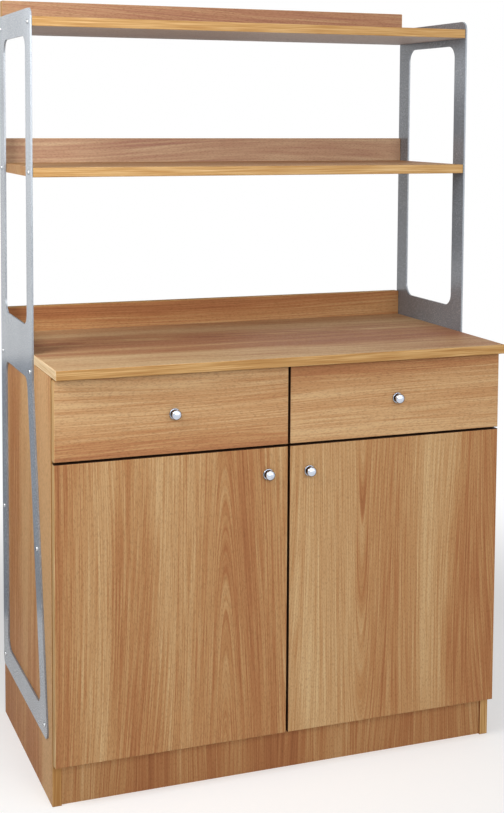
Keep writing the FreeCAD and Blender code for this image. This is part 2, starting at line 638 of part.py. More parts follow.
BOX_X = f"(-{INNER_X} + rail_space)"
BOX_FAR_X = f"({BOX_X} + {BOX_WIDTH} - drawer_board_thick)"
BOX_FAR_Y = f"({LEAF_REAR_Y} + {BOX_DEPTH} - drawer_board_thick)"
BOX_INNER_X = f"({BOX_X} + drawer_board_thick)"
grooved_board("left_drawer_outer_side", BOX_X, LEAF_REAR_Y, "XZ_Plane", False, BOX_DEPTH, True)
grooved_board("left_drawer_inner_side", BOX_FAR_X, LEAF_REAR_Y, "XZ_Plane", True, BOX_DEPTH, True)
grooved_board("left_drawer_inner_front", BOX_INNER_X, LEAF_REAR_Y, "YZ_Plane", False,
              BOX_INNER_WIDTH, False)
grooved_board("left_drawer_back", BOX_INNER_X, BOX_FAR_Y, "YZ_Plane", True, BOX_INNER_WIDTH, False)
knob_hole(nodes["left_drawer_inner_front"], f"{DRAWER_KNOB_X} - {BOX_INNER_X}",
          f"{DRAWER_KNOB_Z} - {BOX_Z}", "drawer_board_thick")
TONGUE = "(groove_depth - groove_play)"
board("left_drawer_bottom", f"{BOX_INNER_X} - {TONGUE}",
      f"{LEAF_REAR_Y} + drawer_board_thick - {TONGUE}", f"{BOX_Z} + groove_lift + groove_play",
      f"{BOX_INNER_WIDTH} + 2 * {TONGUE}", f"{BOX_DEPTH} - 2 * drawer_board_thick + 2 * {TONGUE}",
      "drawer_bottom_thick")
knob("left_drawer", DRAWER_KNOB_X, DRAWER_KNOB_Z, "(front_thick + drawer_board_thick)")


def channel_pair(label, web, reach, half_height):
    """Makes a drawer's two rails of one kind, as channels that face each other.

    A channel's web stands at one distance from the board beside the drawer and its flanges
    end at another, so the flanges point at the drawer where the reach is the larger.
    """
    body = new_body(label, f"-{INNER_X}", RAIL_Y, RAIL_Z)
    sketch = new_sketch(body, "XZ_Plane")
    inside = f"{web} + rail_thick" if number(reach) > number(web) else f"{web} - rail_thick"
    high = half_height
    low = f"{half_height} - rail_thick"
    section = [
        (web, f"-({high})"), (reach, f"-({high})"), (reach, f"-({low})"), (inside, f"-({low})"),
        (inside, low), (reach, low), (reach, high), (web, high),
    ]
    add_polygon(sketch, section)
    add_polygon(sketch, [(f"{BAY_WIDTH} - ({a})", b) for a, b in section])
    pad(sketch, RAIL_LENGTH, backwards=True)


NEST = "(rail_thick + rail_play)"
channel_pair("left_cabinet_rails", "0", "rail_reach", "rail_height / 2")
channel_pair("left_middle_rails", NEST, f"{NEST} + rail_reach", f"rail_height / 2 - {NEST}")
channel_pair("left_drawer_rails", "rail_space", f"2 * {NEST}", f"rail_height / 2 - 2 * {NEST}")

# Left door on two concealed cup hinges.
leaf = board("left_door", LEAF_OUTER_X, FRONT_Y, "door_lift", LEAF_WIDTH, "front_thick", "door_height")
round_front(leaf)
door = nodes["left_door"]
knob_hole(door, f"{LEAF_WIDTH} - door_knob_inset", "door_height - door_knob_drop", "front_thick")
sketch = new_sketch(door, "XZ_Plane", "-front_thick")
for z in ("hinge_inset", "door_height - hinge_inset"):
    add_circle(sketch, "cup_edge + cup_dia / 2", z, "cup_dia + 2 * cup_play")
pocket(sketch, "cup_depth + cup_play", backwards=True)
knob("left_door", DOOR_KNOB_X, DOOR_KNOB_Z, "front_thick")

# Hinge cups: a turned cup with two ears, and lugs inside that hold the pin.
CUP_INSIDE = "(cup_depth - cup_wall)"
CUP_BORE = "(cup_dia - 2 * cup_wall)"
PIN_ACROSS = "(cup_edge + cup_dia / 2 - hinge_pin_edge)"
SLOT = "(knuckle_width + 2 * knuckle_play)"
PIN_BORE = "hinge_pin_dia + 2 * hinge_pin_play"
PIN_LENGTH = f"({SLOT} + 2 * lug_thick)"
body = new_body("left_hinge_cups", CUP_X, LEAF_REAR_Y, HINGE_Z, half_turn=True)
profile = new_sketch(body, "XY_Plane")
add_polygon(profile, [
    ("0", "cup_depth"), ("cup_dia / 2", "cup_depth"), ("cup_dia / 2", "0"),
    (f"{CUP_BORE} / 2", "0"), (f"{CUP_BORE} / 2", CUP_INSIDE), ("0", CUP_INSIDE),
])
revolve(profile)
sketch = new_sketch(body, "XZ_Plane")
add_rectangle(sketch, "-cup_ear_width / 2", "-cup_ear_height / 2",
              "cup_ear_width / 2", "cup_ear_height / 2")
ears = pad(sketch, "cup_ear_thick")
tall = number("cup_ear_height / 2")
round_edges(ears, edges_where(ears, lambda p: near(abs(p.z), tall), along="y"), "cup_ear_round")
sketch = new_sketch(body, "XZ_Plane", "cup_ear_thick")
add_circle(sketch, "0", "0", CUP_BORE)
pocket(sketch, "cup_ear_thick")
for side_of_arm, backwards in ((f"{SLOT} / 2", False), (f"-{SLOT} / 2", True)):
    sketch = new_sketch(body, "XY_Plane", side_of_arm)
    add_rectangle(sketch, f"{PIN_ACROSS} - lug_width / 2", "hinge_pin_depth - lug_width / 2",
                  f"{PIN_ACROSS} + lug_width / 2", "cup_depth - cup_wall / 2")
    pad(sketch, "lug_thick", backwards=backwards)
sketch = new_sketch(body, "XY_Plane")
add_circle(sketch, PIN_ACROSS, "hinge_pin_depth", PIN_BORE)
pocket(sketch, PIN_LENGTH, symmetric=True)
repeat_upwards(body, HINGE_SPACING)

body = new_body("left_hinge_pins", PIN_X, HINGE_PIN_Y, HINGE_Z)
sketch = new_sketch(body, "XY_Plane")
add_circle(sketch, "0", "0", "hinge_pin_dia")
pad(sketch, PIN_LENGTH, symmetric=True)
repeat_upwards(body, HINGE_SPACING)

# Hinge arms: a knuckle on the pin, and a bent strip that widens on its plate.
ARM_ACROSS = f"({ARM_X} - {PIN_X})"
ARM_END = f"({CARCASS_Y} + arm_reach - {HINGE_PIN_Y})"
ARM_WIDE = f"({CARCASS_Y} + arm_step - {HINGE_PIN_Y})"
body = new_body("left_hinge_arms", PIN_X, HINGE_PIN_Y, HINGE_Z)
sketch = new_sketch(body, "XY_Plane")
add_circle(sketch, "0", "0", "knuckle_dia")
pad(sketch, "knuckle_width", symmetric=True)
sketch = new_sketch(body, "XY_Plane")
add_polygon(sketch, [
    ("0", "-arm_thick / 2"), (f"{ARM_ACROSS} + arm_thick", "-arm_thick / 2"),
    (f"{ARM_ACROSS} + arm_thick", ARM_END), (ARM_ACROSS, ARM_END),
    (ARM_ACROSS, "arm_thick / 2"), ("0", "arm_thick / 2"),
])
pad(sketch, "knuckle_width", symmetric=True)
sketch = new_sketch(body, "XY_Plane")
add_rectangle(sketch, ARM_ACROSS, ARM_WIDE, f"{ARM_ACROSS} + arm_thick", ARM_END)
pad(sketch, "arm_width", symmetric=True)
sketch = new_sketch(body, "XY_Plane")
add_circle(sketch, "0", "0", PIN_BORE)
pocket(sketch, "knuckle_width", symmetric=True)
repeat_upwards(body, HINGE_SPACING)

# Hinge plates: crosses on the side panel under the arms.
WING_NEAR = "hinge_plate_screw_line - hinge_wing_width / 2"
WING_FAR = "hinge_plate_screw_line + hinge_wing_width / 2"
STEM = "arm_width / 2"
WING = "hinge_wing_height / 2"
body = new_body("left_hinge_plates", f"-{INNER_X}", CARCASS_Y, HINGE_Z)
sketch = new_sketch(body, "YZ_Plane")
add_polygon(sketch, [
    ("hinge_plate_start", f"-{STEM}"), (WING_NEAR, f"-{STEM}"), (WING_NEAR, f"-{WING}"),
    (WING_FAR, f"-{WING}"), (WING_FAR, f"-{STEM}"), ("arm_reach", f"-{STEM}"),
    ("arm_reach", STEM), (WING_FAR, STEM), (WING_FAR, WING), (WING_NEAR, WING),
    (WING_NEAR, STEM), ("hinge_plate_start", STEM),
])
wings = pad(sketch, "hinge_plate_thick")
tall = number(WING)
round_edges(wings, edges_where(wings, lambda p: near(abs(p.z), tall), along="x"), "hinge_wing_round")
repeat_upwards(body, HINGE_SPACING)

# Right-hand twins, then the files.
for label in [label for label in nodes if label.startswith("left_")]:
    mirror_to_right(label)
doc.recompute()

for item in doc.Objects:
    if {"Invalid", "Error"} & set(item.State):
        raise ValueError(f"{item.Label}: {item.State}")
os.makedirs("parts", exist_ok=True)
for label, item in nodes.items():
    if item.Shape.isNull() or not item.Shape.isValid():
        raise ValueError(f"{label}: no valid shape")
    item.Shape.exportStep(f"parts/{label}.step")
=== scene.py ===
"""Waiter's service station: finishes, small fittings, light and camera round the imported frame."""

import logging
import math
from collections.abc import Mapping, Sequence
from dataclasses import dataclass, field
from enum import Enum

import bmesh
import bpy
from bpy.types import ID, Material, Mesh, Node, NodeSocket, NodeTree, Object
from mathutils import Matrix, Vector


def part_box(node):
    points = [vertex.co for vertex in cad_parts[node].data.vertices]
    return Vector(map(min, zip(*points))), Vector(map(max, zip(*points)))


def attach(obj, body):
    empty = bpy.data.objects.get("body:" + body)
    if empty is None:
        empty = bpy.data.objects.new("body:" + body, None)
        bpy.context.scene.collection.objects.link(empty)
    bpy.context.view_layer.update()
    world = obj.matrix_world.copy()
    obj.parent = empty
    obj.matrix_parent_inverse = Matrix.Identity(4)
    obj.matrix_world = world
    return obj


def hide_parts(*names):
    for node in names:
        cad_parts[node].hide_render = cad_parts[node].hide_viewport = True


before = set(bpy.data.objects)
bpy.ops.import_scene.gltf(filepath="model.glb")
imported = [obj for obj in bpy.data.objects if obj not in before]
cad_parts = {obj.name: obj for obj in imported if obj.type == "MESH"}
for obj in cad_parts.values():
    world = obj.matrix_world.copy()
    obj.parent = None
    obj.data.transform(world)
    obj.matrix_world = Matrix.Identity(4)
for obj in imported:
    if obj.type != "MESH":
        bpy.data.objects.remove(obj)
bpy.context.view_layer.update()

MM = 0.001
# Average of a noise, and the range that it mostly keeps to.
NOISE_MEAN = 0.5
NOISE_SPAN = (0.3, 0.7)
# Points of a mesh that lie closer than this are one, in metres.
MERGE_REACH = 0.002 * MM
# Shader constants of matt paper and card.
MATT = {"Roughness": 1.0, "Specular IOR Level": 0.0}
log = logging.getLogger("service_station")

Colour = tuple[float, float, float, float]
Box = tuple[Vector, Vector]
Stops = tuple[tuple[float, str], ...]
Inputs = Mapping[str | int, object]
Layer = tuple[NodeSocket | float, NodeSocket | Colour]


class Side(Enum):
    """The two halves of the station, as seen from the front."""

    LEFT = "left"
    RIGHT = "right"


class Grain(Enum):
    """Way that a board's grain runs, as the turn that lays it along the pattern's own Z axis."""

    UPRIGHT = (0.0, 0.0, 0.0)
    LEVEL = (0.0, -math.pi / 2, 0.0)


class Face(Enum):
    """Face of a board: its axis, and whether it is the low or the high end."""

    LEFT = (0, 0)
    RIGHT = (0, 1)
    FRONT = (1, 0)
    UNDER = (2, 0)
    TOP = (2, 1)


class Facing(Enum):
    """Way that a screw's head looks, as a turn of a head that looks up."""

    LEFT = (0.0, -math.pi / 2, 0.0)
    RIGHT = (0.0, math.pi / 2, 0.0)
    REAR = (-math.pi / 2, 0.0, 0.0)


class Recess(Enum):
    """Driver recess of a screw, by its number of corners."""

    HEXAGON = 6
    SQUARE = 4


def linear(code: str) -> Colour:
    """Turn an sRGB hex value into a linear colour.

    Args:
        code: Six hex digits, such as "b1845a".

    Returns:
        The linear red, green and blue, with an alpha of 1.
    """
    parts = [int(code[at:at + 2], 16) / 255 for at in (0, 2, 4)]
    red, green, blue = (p / 12.92 if p <= 0.04045 else ((p + 0.055) / 1.055) ** 2.4 for p in parts)
    return red, green, blue, 1.0


def set_inputs(node: Node, inputs: Inputs) -> None:
    """Give a node its socket values and links.

    Args:
        node: Node of any tree.
        inputs: Value, or output socket to link, for each input by name or number.
    """
    for socket, value in inputs.items():
        if isinstance(value, NodeSocket):
            node.id_data.links.new(value, node.inputs[socket])
        else:
            node.inputs[socket].default_value = value


def add_node(
    tree: NodeTree, kind: str, inputs: Inputs, output: str | int = 0, **settings: object
) -> NodeSocket:
    """Add one node with its settings, socket values and links.

    Args:
        tree: Node tree that gets the node.
        kind: Blender's name for the kind of node.
        inputs: Value, or output socket to link, for each input by name or number.
        output: Name or number of the output that is wanted.
        **settings: Properties of the node itself.

    Returns:
        The wanted output.
    """
    node = tree.nodes.new(kind)
    for name, value in settings.items():
        setattr(node, name, value)
    set_inputs(node, inputs)
    return node.outputs[output]


def new_material(name: str) -> tuple[Material, NodeTree, Node]:
    """Make a material that holds a bare principled shader.

    Args:
        name: Name of the material.

    Returns:
        The material, its node tree and the shader.
    """
    material = bpy.data.materials.new(name)
    material.use_nodes = True
    tree = material.node_tree
    return material, tree, tree.nodes["Principled BSDF"]


def set_stops(ramp: NodeSocket, stops: Stops) -> NodeSocket:
    """Give a colour ramp its stops.

    Args:
        ramp: Colour output of the ramp.
        stops: Place and hex colour of each stop, from low to high.

    Returns:
        The same output.
    """
    elements = ramp.node.color_ramp.elements
    while len(elements) < len(stops):
        elements.new(1.0)
    for element, (place, code) in zip(elements, stops):
        element.position = place
        element.color = linear(code)
    return ramp


def mixed_tone(
    tree: NodeTree, parts: Sequence[tuple[NodeSocket, float]], start: float = NOISE_MEAN
) -> NodeSocket:
    """Add weighted patterns up to one tone.

    Args:
        tree: Node tree of the material.
        parts: Each pattern with its weight.
        start: Tone where every pattern is at its average.

    Returns:
        The summed tone.
    """
    tone: object = start - NOISE_MEAN * sum(weight for _, weight in parts)
    for pattern, weight in parts:
        terms = {0: pattern, 1: weight, 2: tone}
        tone = add_node(tree, "ShaderNodeMath", terms, operation="MULTIPLY_ADD")
    return tone


def layered(tree: NodeTree, colour: NodeSocket, layers: Sequence[Layer]) -> NodeSocket:
    """Lay colours over a colour.

    Args:
        tree: Node tree of the material.
        colour: Colour at the bottom.
        layers: Share and colour of each layer, from the lowest up.

    Returns:
        The colour that shows.
    """
    # Inputs 6 and 7 and output 2 of the node are its colours.
    for share, shade in layers:
        mixed = {0: share, 6: colour, 7: shade}
        colour = add_node(tree, "ShaderNodeMix", mixed, 2, data_type="RGBA")
    return colour


@dataclass(frozen=True)
class Streak:
    """A stretched noise: its size across and along the grain in mm, and its fineness."""

    across: float
    along: float
    detail: float = 2.0
    roughness: float = 0.5

    def lay(
        self,
        tree: NodeTree,
        place: NodeSocket,
        narrow: Sequence[int] = (0, 1),
        shift: Sequence[float] = (0.0, 0.0, 0.0),
    ) -> NodeSocket:
        """Add the noise to a material.

        Args:
            tree: Node tree of the material.
            place: Coordinates in metres.
            narrow: Axes across the grain.
            shift: Shift of the noise, in steps of its own size.

        Returns:
            The noise.
        """
        sizes = [self.across if axis in narrow else self.along for axis in range(3)]
        scale = [1 / (size * MM) for size in sizes]
        laid = add_node(tree, "ShaderNodeMapping", {"Vector": place, "Location": shift, "Scale": scale})
        grain = {"Vector": laid, "Scale": 1.0, "Detail": self.detail, "Roughness": self.roughness}
        return add_node(tree, "ShaderNodeTexNoise", grain, "Fac")


@dataclass(frozen=True)
class Relief:
    """Roughness at the low and the high end of a pattern, and its bump: strength and depth in mm."""

    smooth: float
    rough: float
    strength: float
    depth: float
    sunk: bool = False

    def lay(
        self,
        tree: NodeTree,
        pattern: NodeSocket,
        bumps: NodeSocket,
        span: tuple[float, float] = NOISE_SPAN,
    ) -> dict[str, NodeSocket]:
        """Turn patterns into a surface.

        Args:
            tree: Node tree of the material.
            pattern: Pattern of the roughness.
            bumps: Pattern of the bump.
            span: Low and high end of the roughness pattern.

        Returns:
            The shader's roughness and normal, by socket.
        """
        limits = dict(enumerate((pattern, *span, self.smooth, self.rough)))
        height = {"Height": bumps, "Strength": self.strength, "Distance": self.depth * MM}
        return {
            "Roughness": add_node(tree, "ShaderNodeMapRange", limits),
            "Normal": add_node(tree, "ShaderNodeBump", height, invert=self.sunk),
        }


@dataclass(frozen=True)
class Arch:
    """Arches of a flat-sawn board: their line and their foot in metres, and their taper."""

    line: float
    foot: float
    taper: float

    def lay(self, tree: NodeTree, place: NodeSocket) -> NodeSocket:
        """Add the distance from the arches' line, so that streaks close in arches round it.

        Args:
            tree: Node tree of the material.
            place: Object coordinates in metres.

        Returns:
            The distance in metres.
        """
        foot = (-self.line, 0.0, -self.foot * self.taper)
        tapered = {"Vector": place, "Location": foot, "Scale": (1.0, 0.0, self.taper)}
        from_line = add_node(tree, "ShaderNodeMapping", tapered)
        return add_node(tree, "ShaderNodeVectorMath", {0: from_line}, "Value", operation="LENGTH")


@dataclass(frozen=True)
class PaintedHaze:
    """Colour mixed over a board's print, as painted sheen from its surroundings and painted light: its
    share, its shade, and its one face if any.
    """

    share: float
    shade: str
    face: Face | None = None


@dataclass(frozen=True)
class Board:
    """A laminated board of the frame: its node, its grain, its edges and its cut of the decor."""

    node: str
    grain: Grain
    bands: tuple[Face, ...]
    seed: int
    # Shift of the board's tone: painted shade on the plinth and the worktop's upstand, painted light on
    # the middle shelf's upstand.
    lift: float = 0.0
    # Edges that face a gap, coloured dark as painted shade.
    painted_shade_gaps: tuple[Face, ...] = ()
    # Gain of the tone from the middle of the board towards a face: painted light and shade on the side
    # panel, worktop and top shelf, and a darker drift towards one edge of each drawer front.
    painted_light_and_drifts: tuple[tuple[Face, float], ...] = ()
    # Gain of the edging's tone on an edge, as painted light and shade.
    edge_painted_light: tuple[tuple[Face, float], ...] = ()
    contrast: float = 1.0
    painted_haze: PaintedHaze | None = None
    arch: Arch | None = None

    def shift(self, step: Sequence[float]) -> tuple[float, ...]:
        """Shift of the board's cut of the decor, for the shift of one seed."""
        return tuple(part * self.seed for part in step)


@dataclass
class Sheet:
    """Laminate of one board in the making: the board, the node tree and its object coordinates."""

    board: Board
    tree: NodeTree
    place: NodeSocket

    def along(self, axis: int) -> NodeSocket:
        """Add the place along one axis of the frame, in metres."""
        return add_node(self.tree, "ShaderNodeSeparateXYZ", {0: self.place}, axis)

    def mask(self, face: Face, depth: float) -> NodeSocket:
        """Add the mask of one face of the board.

        Args:
            face: Masked face.
            depth: Depth of the mask in mm.

        Returns:
            1 within the depth and 0 elsewhere.
        """
        axis, end = face.value
        limits = {0: self.along(axis), 1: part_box(self.board.node)[end][axis], 2: depth * MM}
        return add_node(self.tree, "ShaderNodeMath", limits, operation="COMPARE")

    def painted_light_and_drift(self, face: Face, gain: float) -> NodeSocket:
        """Add the slow drift of the tone towards one face of the board, mostly painted light and shade.

        Args:
            face: Face that the tone drifts to.
            gain: Gain of tone at the face.

        Returns:
            The gain of tone, 0 on the far half of the board.
        """
        axis, end = face.value
        ends = [corner[axis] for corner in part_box(self.board.node)]
        limits = {0: self.along(axis), 1: sum(ends) / 2, 2: ends[end], 4: gain}
        return add_node(self.tree, "ShaderNodeMapRange", limits)


@dataclass(frozen=True)
class PlumLaminate:
    """Melamine laminate with a printed plum-wood decor on chipboard, edged in 2 mm ABS.

    The print gives soft light and dark zones, fine streaks and faint arches along the grain.
    The pressed plate gives a satin gloss with shallow pores, and the edging is paler and yellower.
    """

    decor: Stops = (
        (0.05, "925d3b"), (0.3, "a56f47"), (0.5, "b18356"), (0.7, "be976a"), (0.95, "cdad80"),
    )
    edging: Stops = ((0.25, "a07240"), (0.5, "b98e58"), (0.75, "d1ab76"), (1.0, "efd3aa"))
    pore_shade: str = "6b4428"
    # Painted shade: the edges that face a gap are coloured dark, so that each gap reads as a dark line.
    gap_painted_shade: str = "3e281a"
    # The bend leads zones and streaks sideways as in a sawn log, by up to this many mm.
    bend: Streak = Streak(170, 1900, 0.6)
    zone_reach: float = 250.0
    streak_reach: float = 200.0
    zone: Streak = Streak(130, 2600, 1.0)
    streak: Streak = Streak(7.5, 1200, 3.0, 0.7)
    thread: Streak = Streak(2.6, 200, 2.0, 0.6)
    zone_weight: float = 1.3
    streak_weight: float = 0.9
    thread_weight: float = 1.1
    # Real pores are a third of a millimetre wide: drawn coarser so that they show at all.
    pore: Streak = Streak(1.8, 6, 1.0)
    pore_span: tuple[float, float] = (0.48, 0.7)
    pore_share: float = 0.27
    # What lies within this many mm of a face of the board belongs to it.
    band_thick: float = 0.9
    band_streak: Streak = Streak(2.6, 110)
    band_streak_weight: float = 1.0
    relief: Relief = Relief(0.52, 0.68, 0.1, 0.3, sunk=True)
    melamine_ior: float = 1.2
    # Shift of the decor from one seed to the next.
    seed_step: tuple[float, float, float] = (1.731, 2.377, 3.113)

    def material(self, board: Board) -> Material:
        """Make the laminate of one board.

        Args:
            board: Board that it covers.

        Returns:
            The material.
        """
        material, tree, shader = new_material(f"plum_laminate_{board.node}")
        sheet = Sheet(board, tree, add_node(tree, "ShaderNodeTexCoord", {}, "Object"))
        cut = {"Location": board.shift(self.seed_step), "Rotation": board.grain.value}
        laid = add_node(tree, "ShaderNodeMapping", {"Vector": sheet.place, **cut})
        fleck = self.pore.lay(tree, laid)
        limits = dict(enumerate((fleck, *self.pore_span, 0.0, self.pore_share)))
        pores = add_node(tree, "ShaderNodeMapRange", limits)
        layers = [(pores, linear(self.pore_shade))]
        edges = [(face, self.edge_colour(sheet, face)) for face in board.bands]
        # Painted shade on the edges that face a gap.
        edges += [(face, linear(self.gap_painted_shade)) for face in board.painted_shade_gaps]
        layers += [(sheet.mask(face, self.band_thick), shade) for face, shade in edges]
        colour = layered(tree, self.print_colour(sheet, laid), layers)
        surface = self.relief.lay(tree, pores, pores, (0.0, self.pore_share))
        set_inputs(shader, {"Base Color": colour, "IOR": self.melamine_ior, **surface})
        return material

    def print_colour(self, sheet: Sheet, laid: NodeSocket) -> NodeSocket:
        """Add the colour of the print, without its pores.

        Args:
            sheet: Laminate in the making.
            laid: Coordinates of the board's cut of the decor, with the grain along Z.

        Returns:
            The colour.
        """
        tree, board = sheet.tree, sheet.board
        bend = self.bend.lay(tree, laid)
        x, y, along = add_node(tree, "ShaderNodeSeparateXYZ", {0: laid}).node.outputs
        across = add_node(tree, "ShaderNodeMath", {0: x, 1: y}, operation="ADD")
        from_heart = board.arch.lay(tree, sheet.place) if board.arch else across
        bent = []
        for line, reach in ((across, self.zone_reach), (from_heart, self.streak_reach)):
            terms = {0: bend, 1: reach * MM, 2: line}
            led = add_node(tree, "ShaderNodeMath", terms, operation="MULTIPLY_ADD")
            bent.append(add_node(tree, "ShaderNodeCombineXYZ", {0: led, 2: along}))
        patterns = (
            (self.zone.lay(tree, bent[0]), self.zone_weight * board.contrast),
            (self.streak.lay(tree, bent[1]), self.streak_weight * board.contrast),
            (self.thread.lay(tree, bent[1]), self.thread_weight * board.contrast),
        )
        tone = mixed_tone(tree, patterns, NOISE_MEAN + board.lift)
        # Painted light and shade: the tone drifts towards some faces of the board.
        for face, gain in board.painted_light_and_drifts:
            pale = sheet.painted_light_and_drift(face, gain)
            tone = add_node(tree, "ShaderNodeMath", {0: tone, 1: pale}, operation="ADD")
        colour = set_stops(add_node(tree, "ShaderNodeValToRGB", {0: tone}), self.decor)
        # Painted sheen and light: a colour mixed over the print.
        painted_haze = board.painted_haze
        if not painted_haze:
            return colour
        share = painted_haze.share
        if painted_haze.face:
            mask = sheet.mask(painted_haze.face, self.band_thick)
            share = add_node(tree, "ShaderNodeMath", {0: mask, 1: share}, operation="MULTIPLY")
        return layered(tree, colour, [(share, linear(painted_haze.shade))])

    def edge_colour(self, sheet: Sheet, face: Face) -> NodeSocket:
        """Add the edging's colour, streaked along the edge.

        Args:
            sheet: Laminate in the making.
            face: Edged face.

        Returns:
            The colour.
        """
        tree, board = sheet.tree, sheet.board
        low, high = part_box(board.node)
        widths = {axis: high[axis] - low[axis] for axis in range(3) if axis != face.value[0]}
        narrow = min(widths, key=widths.get)
        noise = self.band_streak.lay(tree, sheet.place, (narrow,), board.shift(self.seed_step))
        # Painted light and shade on this edge.
        gain = dict(board.edge_painted_light).get(face, 0.0)
        tone = mixed_tone(tree, [(noise, self.band_streak_weight)], NOISE_MEAN + gain)
        return set_stops(add_node(tree, "ShaderNodeValToRGB", {0: tone}), self.edging)


@dataclass(frozen=True)
class SilverCoat:
    """Silver powder coat on steel plate: aluminium flake under a clear binder.

    It gives a mid grey with a fine sparkle, a soft orange-peel surface and a bright sheen at a slant,
    with painted reflection that darkens it towards the foot and on the inner face.
    """

    shade: Stops = (
        (0.0, "5e646b"), (0.25, "737a81"), (0.5, "878d95"), (0.8, "a1a8b0"), (1.0, "b2b9c1"),
    )
    # Real flakes are a twentieth of a millimetre: drawn coarser so that the sparkle shows.
    flake: Streak = Streak(2.2, 2.2, 2.0, 0.7)
    cloud: Streak = Streak(120, 160, 1.0)
    peel: Streak = Streak(4.0, 4.0, 1.0)
    flake_weight: float = 1.0
    cloud_weight: float = 0.5
    # Painted reflection: the tone darkens towards the foot and pales towards the top, as the plate
    # mirrors the room's dark foot and bright top; heights in metres, and gain of tone.
    painted_reflection_heights: tuple[float, float] = (0.2, 1.25)
    painted_reflection_gains: tuple[float, float] = (0.1, 0.22)
    # Painted reflection and shade: its inner face, known within this many mm, is darker, as it mirrors
    # the wood between the two frames.
    inner_reach: float = 0.5
    inner_painted_shade_gain: float = -0.22
    relief: Relief = Relief(0.2, 0.3, 0.06, 0.2)
    metallic: float = 0.15
    binder_ior: float = 1.6

    def material(self) -> Material:
        """Make the coat's material.

        Returns:
            The material.
        """
        material, tree, shader = new_material("silver_powder_coat")
        place = add_node(tree, "ShaderNodeTexCoord", {}, "Object")
        flake = self.flake.lay(tree, place)
        cloud = self.cloud.lay(tree, place)
        tone = mixed_tone(tree, [(flake, self.flake_weight), (cloud, self.cloud_weight)])
        x, _, height = add_node(tree, "ShaderNodeSeparateXYZ", {0: place}).node.outputs
        # Painted reflection, darker low and paler high.
        limits = dict(enumerate((height, *self.painted_reflection_heights, *self.painted_reflection_gains)))
        painted_reflection = add_node(tree, "ShaderNodeMapRange", limits)
        tone = add_node(tree, "ShaderNodeMath", {0: tone, 1: painted_reflection}, operation="ADD")
        # Painted shade and reflection on the plate's inner face.
        out = add_node(tree, "ShaderNodeMath", {0: x}, operation="ABSOLUTE")
        limits = {0: out, 1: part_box("right_side_frame")[0].x, 2: self.inner_reach * MM}
        inner = add_node(tree, "ShaderNodeMath", limits, operation="COMPARE")
        terms = {0: inner, 1: self.inner_painted_shade_gain, 2: tone}
        tone = add_node(tree, "ShaderNodeMath", terms, operation="MULTIPLY_ADD")
        colour = set_stops(add_node(tree, "ShaderNodeValToRGB", {0: tone}), self.shade)
        surface = self.relief.lay(tree, flake, self.peel.lay(tree, place))
        constants = {"Metallic": self.metallic, "IOR": self.binder_ior}
        set_inputs(shader, {"Base Color": colour, **constants, **surface})
        return material


@dataclass(frozen=True)
class BrightMetal:
    """A plated or turned metal: bright, with a fine cloud and faint marks of the tool that made it."""

    name: str
    shade: Stops
    marks: Streak
    relief: Relief
    # Painted reflection and shade: bands coloured as the wood close by and the shade that they mirror;
    # start and end before the fronts in mm, and shade.
    painted_reflection_bands: tuple[tuple[float, float, str], ...] = ()
    # Painted reflection: at a slant the plate is coloured darker, as it mirrors a room's dark side; its
    # shade, and the slants of its start and end.
    rim_painted_shade: str = ""
    rim_span: tuple[float, float] = (0.28, 0.72)

    def material(self) -> Material:
        """Make the metal's material.

        Returns:
            The material.
        """
        material, tree, shader = new_material(self.name)
        place = add_node(tree, "ShaderNodeTexCoord", {}, "Object")
        marks = self.marks.lay(tree, place)
        colour = set_stops(add_node(tree, "ShaderNodeValToRGB", {0: marks}), self.shade)
        layers = []
        # Painted reflection and shade on rings of the knob.
        for first, last, shade in self.painted_reflection_bands:
            start, end = (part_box("left_door")[0].y - out * MM for out in (first, last))
            depth = add_node(tree, "ShaderNodeSeparateXYZ", {0: place}, "Y")
            limits = {0: depth, 1: (start + end) / 2, 2: (start - end) / 2}
            painted_band = add_node(tree, "ShaderNodeMath", limits, operation="COMPARE")
            layers.append((painted_band, linear(shade)))
        # Painted reflection: a dark rim where the surface turns away.
        if self.rim_painted_shade:
            slant = add_node(tree, "ShaderNodeLayerWeight", {}, "Facing")
            rim = add_node(tree, "ShaderNodeMapRange", dict(enumerate((slant, *self.rim_span))))
            layers.append((rim, linear(self.rim_painted_shade)))
        surface = self.relief.lay(tree, marks, marks)
        set_inputs(shader, {"Base Color": layered(tree, colour, layers), "Metallic": 1.0, **surface})
        return material


# Nickel-chrome plate over a turned zinc casting: a satin, bluish mirror with soft edges, with painted
# reflection and shade in brown and grey on the rose and the neck, and a painted dark rim at a slant.
SATIN_CHROME = BrightMetal(
    "satin_chrome_plate", ((0.3, "c2cad8"), (0.7, "d8dfeb")),
    Streak(6, 1.5, 1.0), Relief(0.14, 0.22, 0.03, 0.1),
    ((0.0, 1.9, "6b4d37"), (1.9, 3.04, "b4bac6"), (3.04, 9.4, "5d4a3c")), "3f444e",
)
# Blue-passivated zinc on cold-rolled steel: a grey, clouded metal with rolling marks front to back.
ZINC_PLATE = BrightMetal(
    "zinc_plated_steel", ((0.3, "a3a6aa"), (0.7, "c6c9cc")),
    Streak(1.2, 40, 2.0), Relief(0.28, 0.42, 0.08, 0.1),
)
# Nickel plate on a cold-headed screw: a bright, slightly warm mirror, with a painted dark rim at a
# slant.
SCREW_NICKEL = BrightMetal(
    "nickel_plated_screw", ((0.3, "bfc1c3"), (0.7, "d6d7d8")),
    Streak(2, 2, 1.0), Relief(0.16, 0.24, 0.03, 0.1), rim_painted_shade="50545a", rim_span=(0.4, 0.8),
)


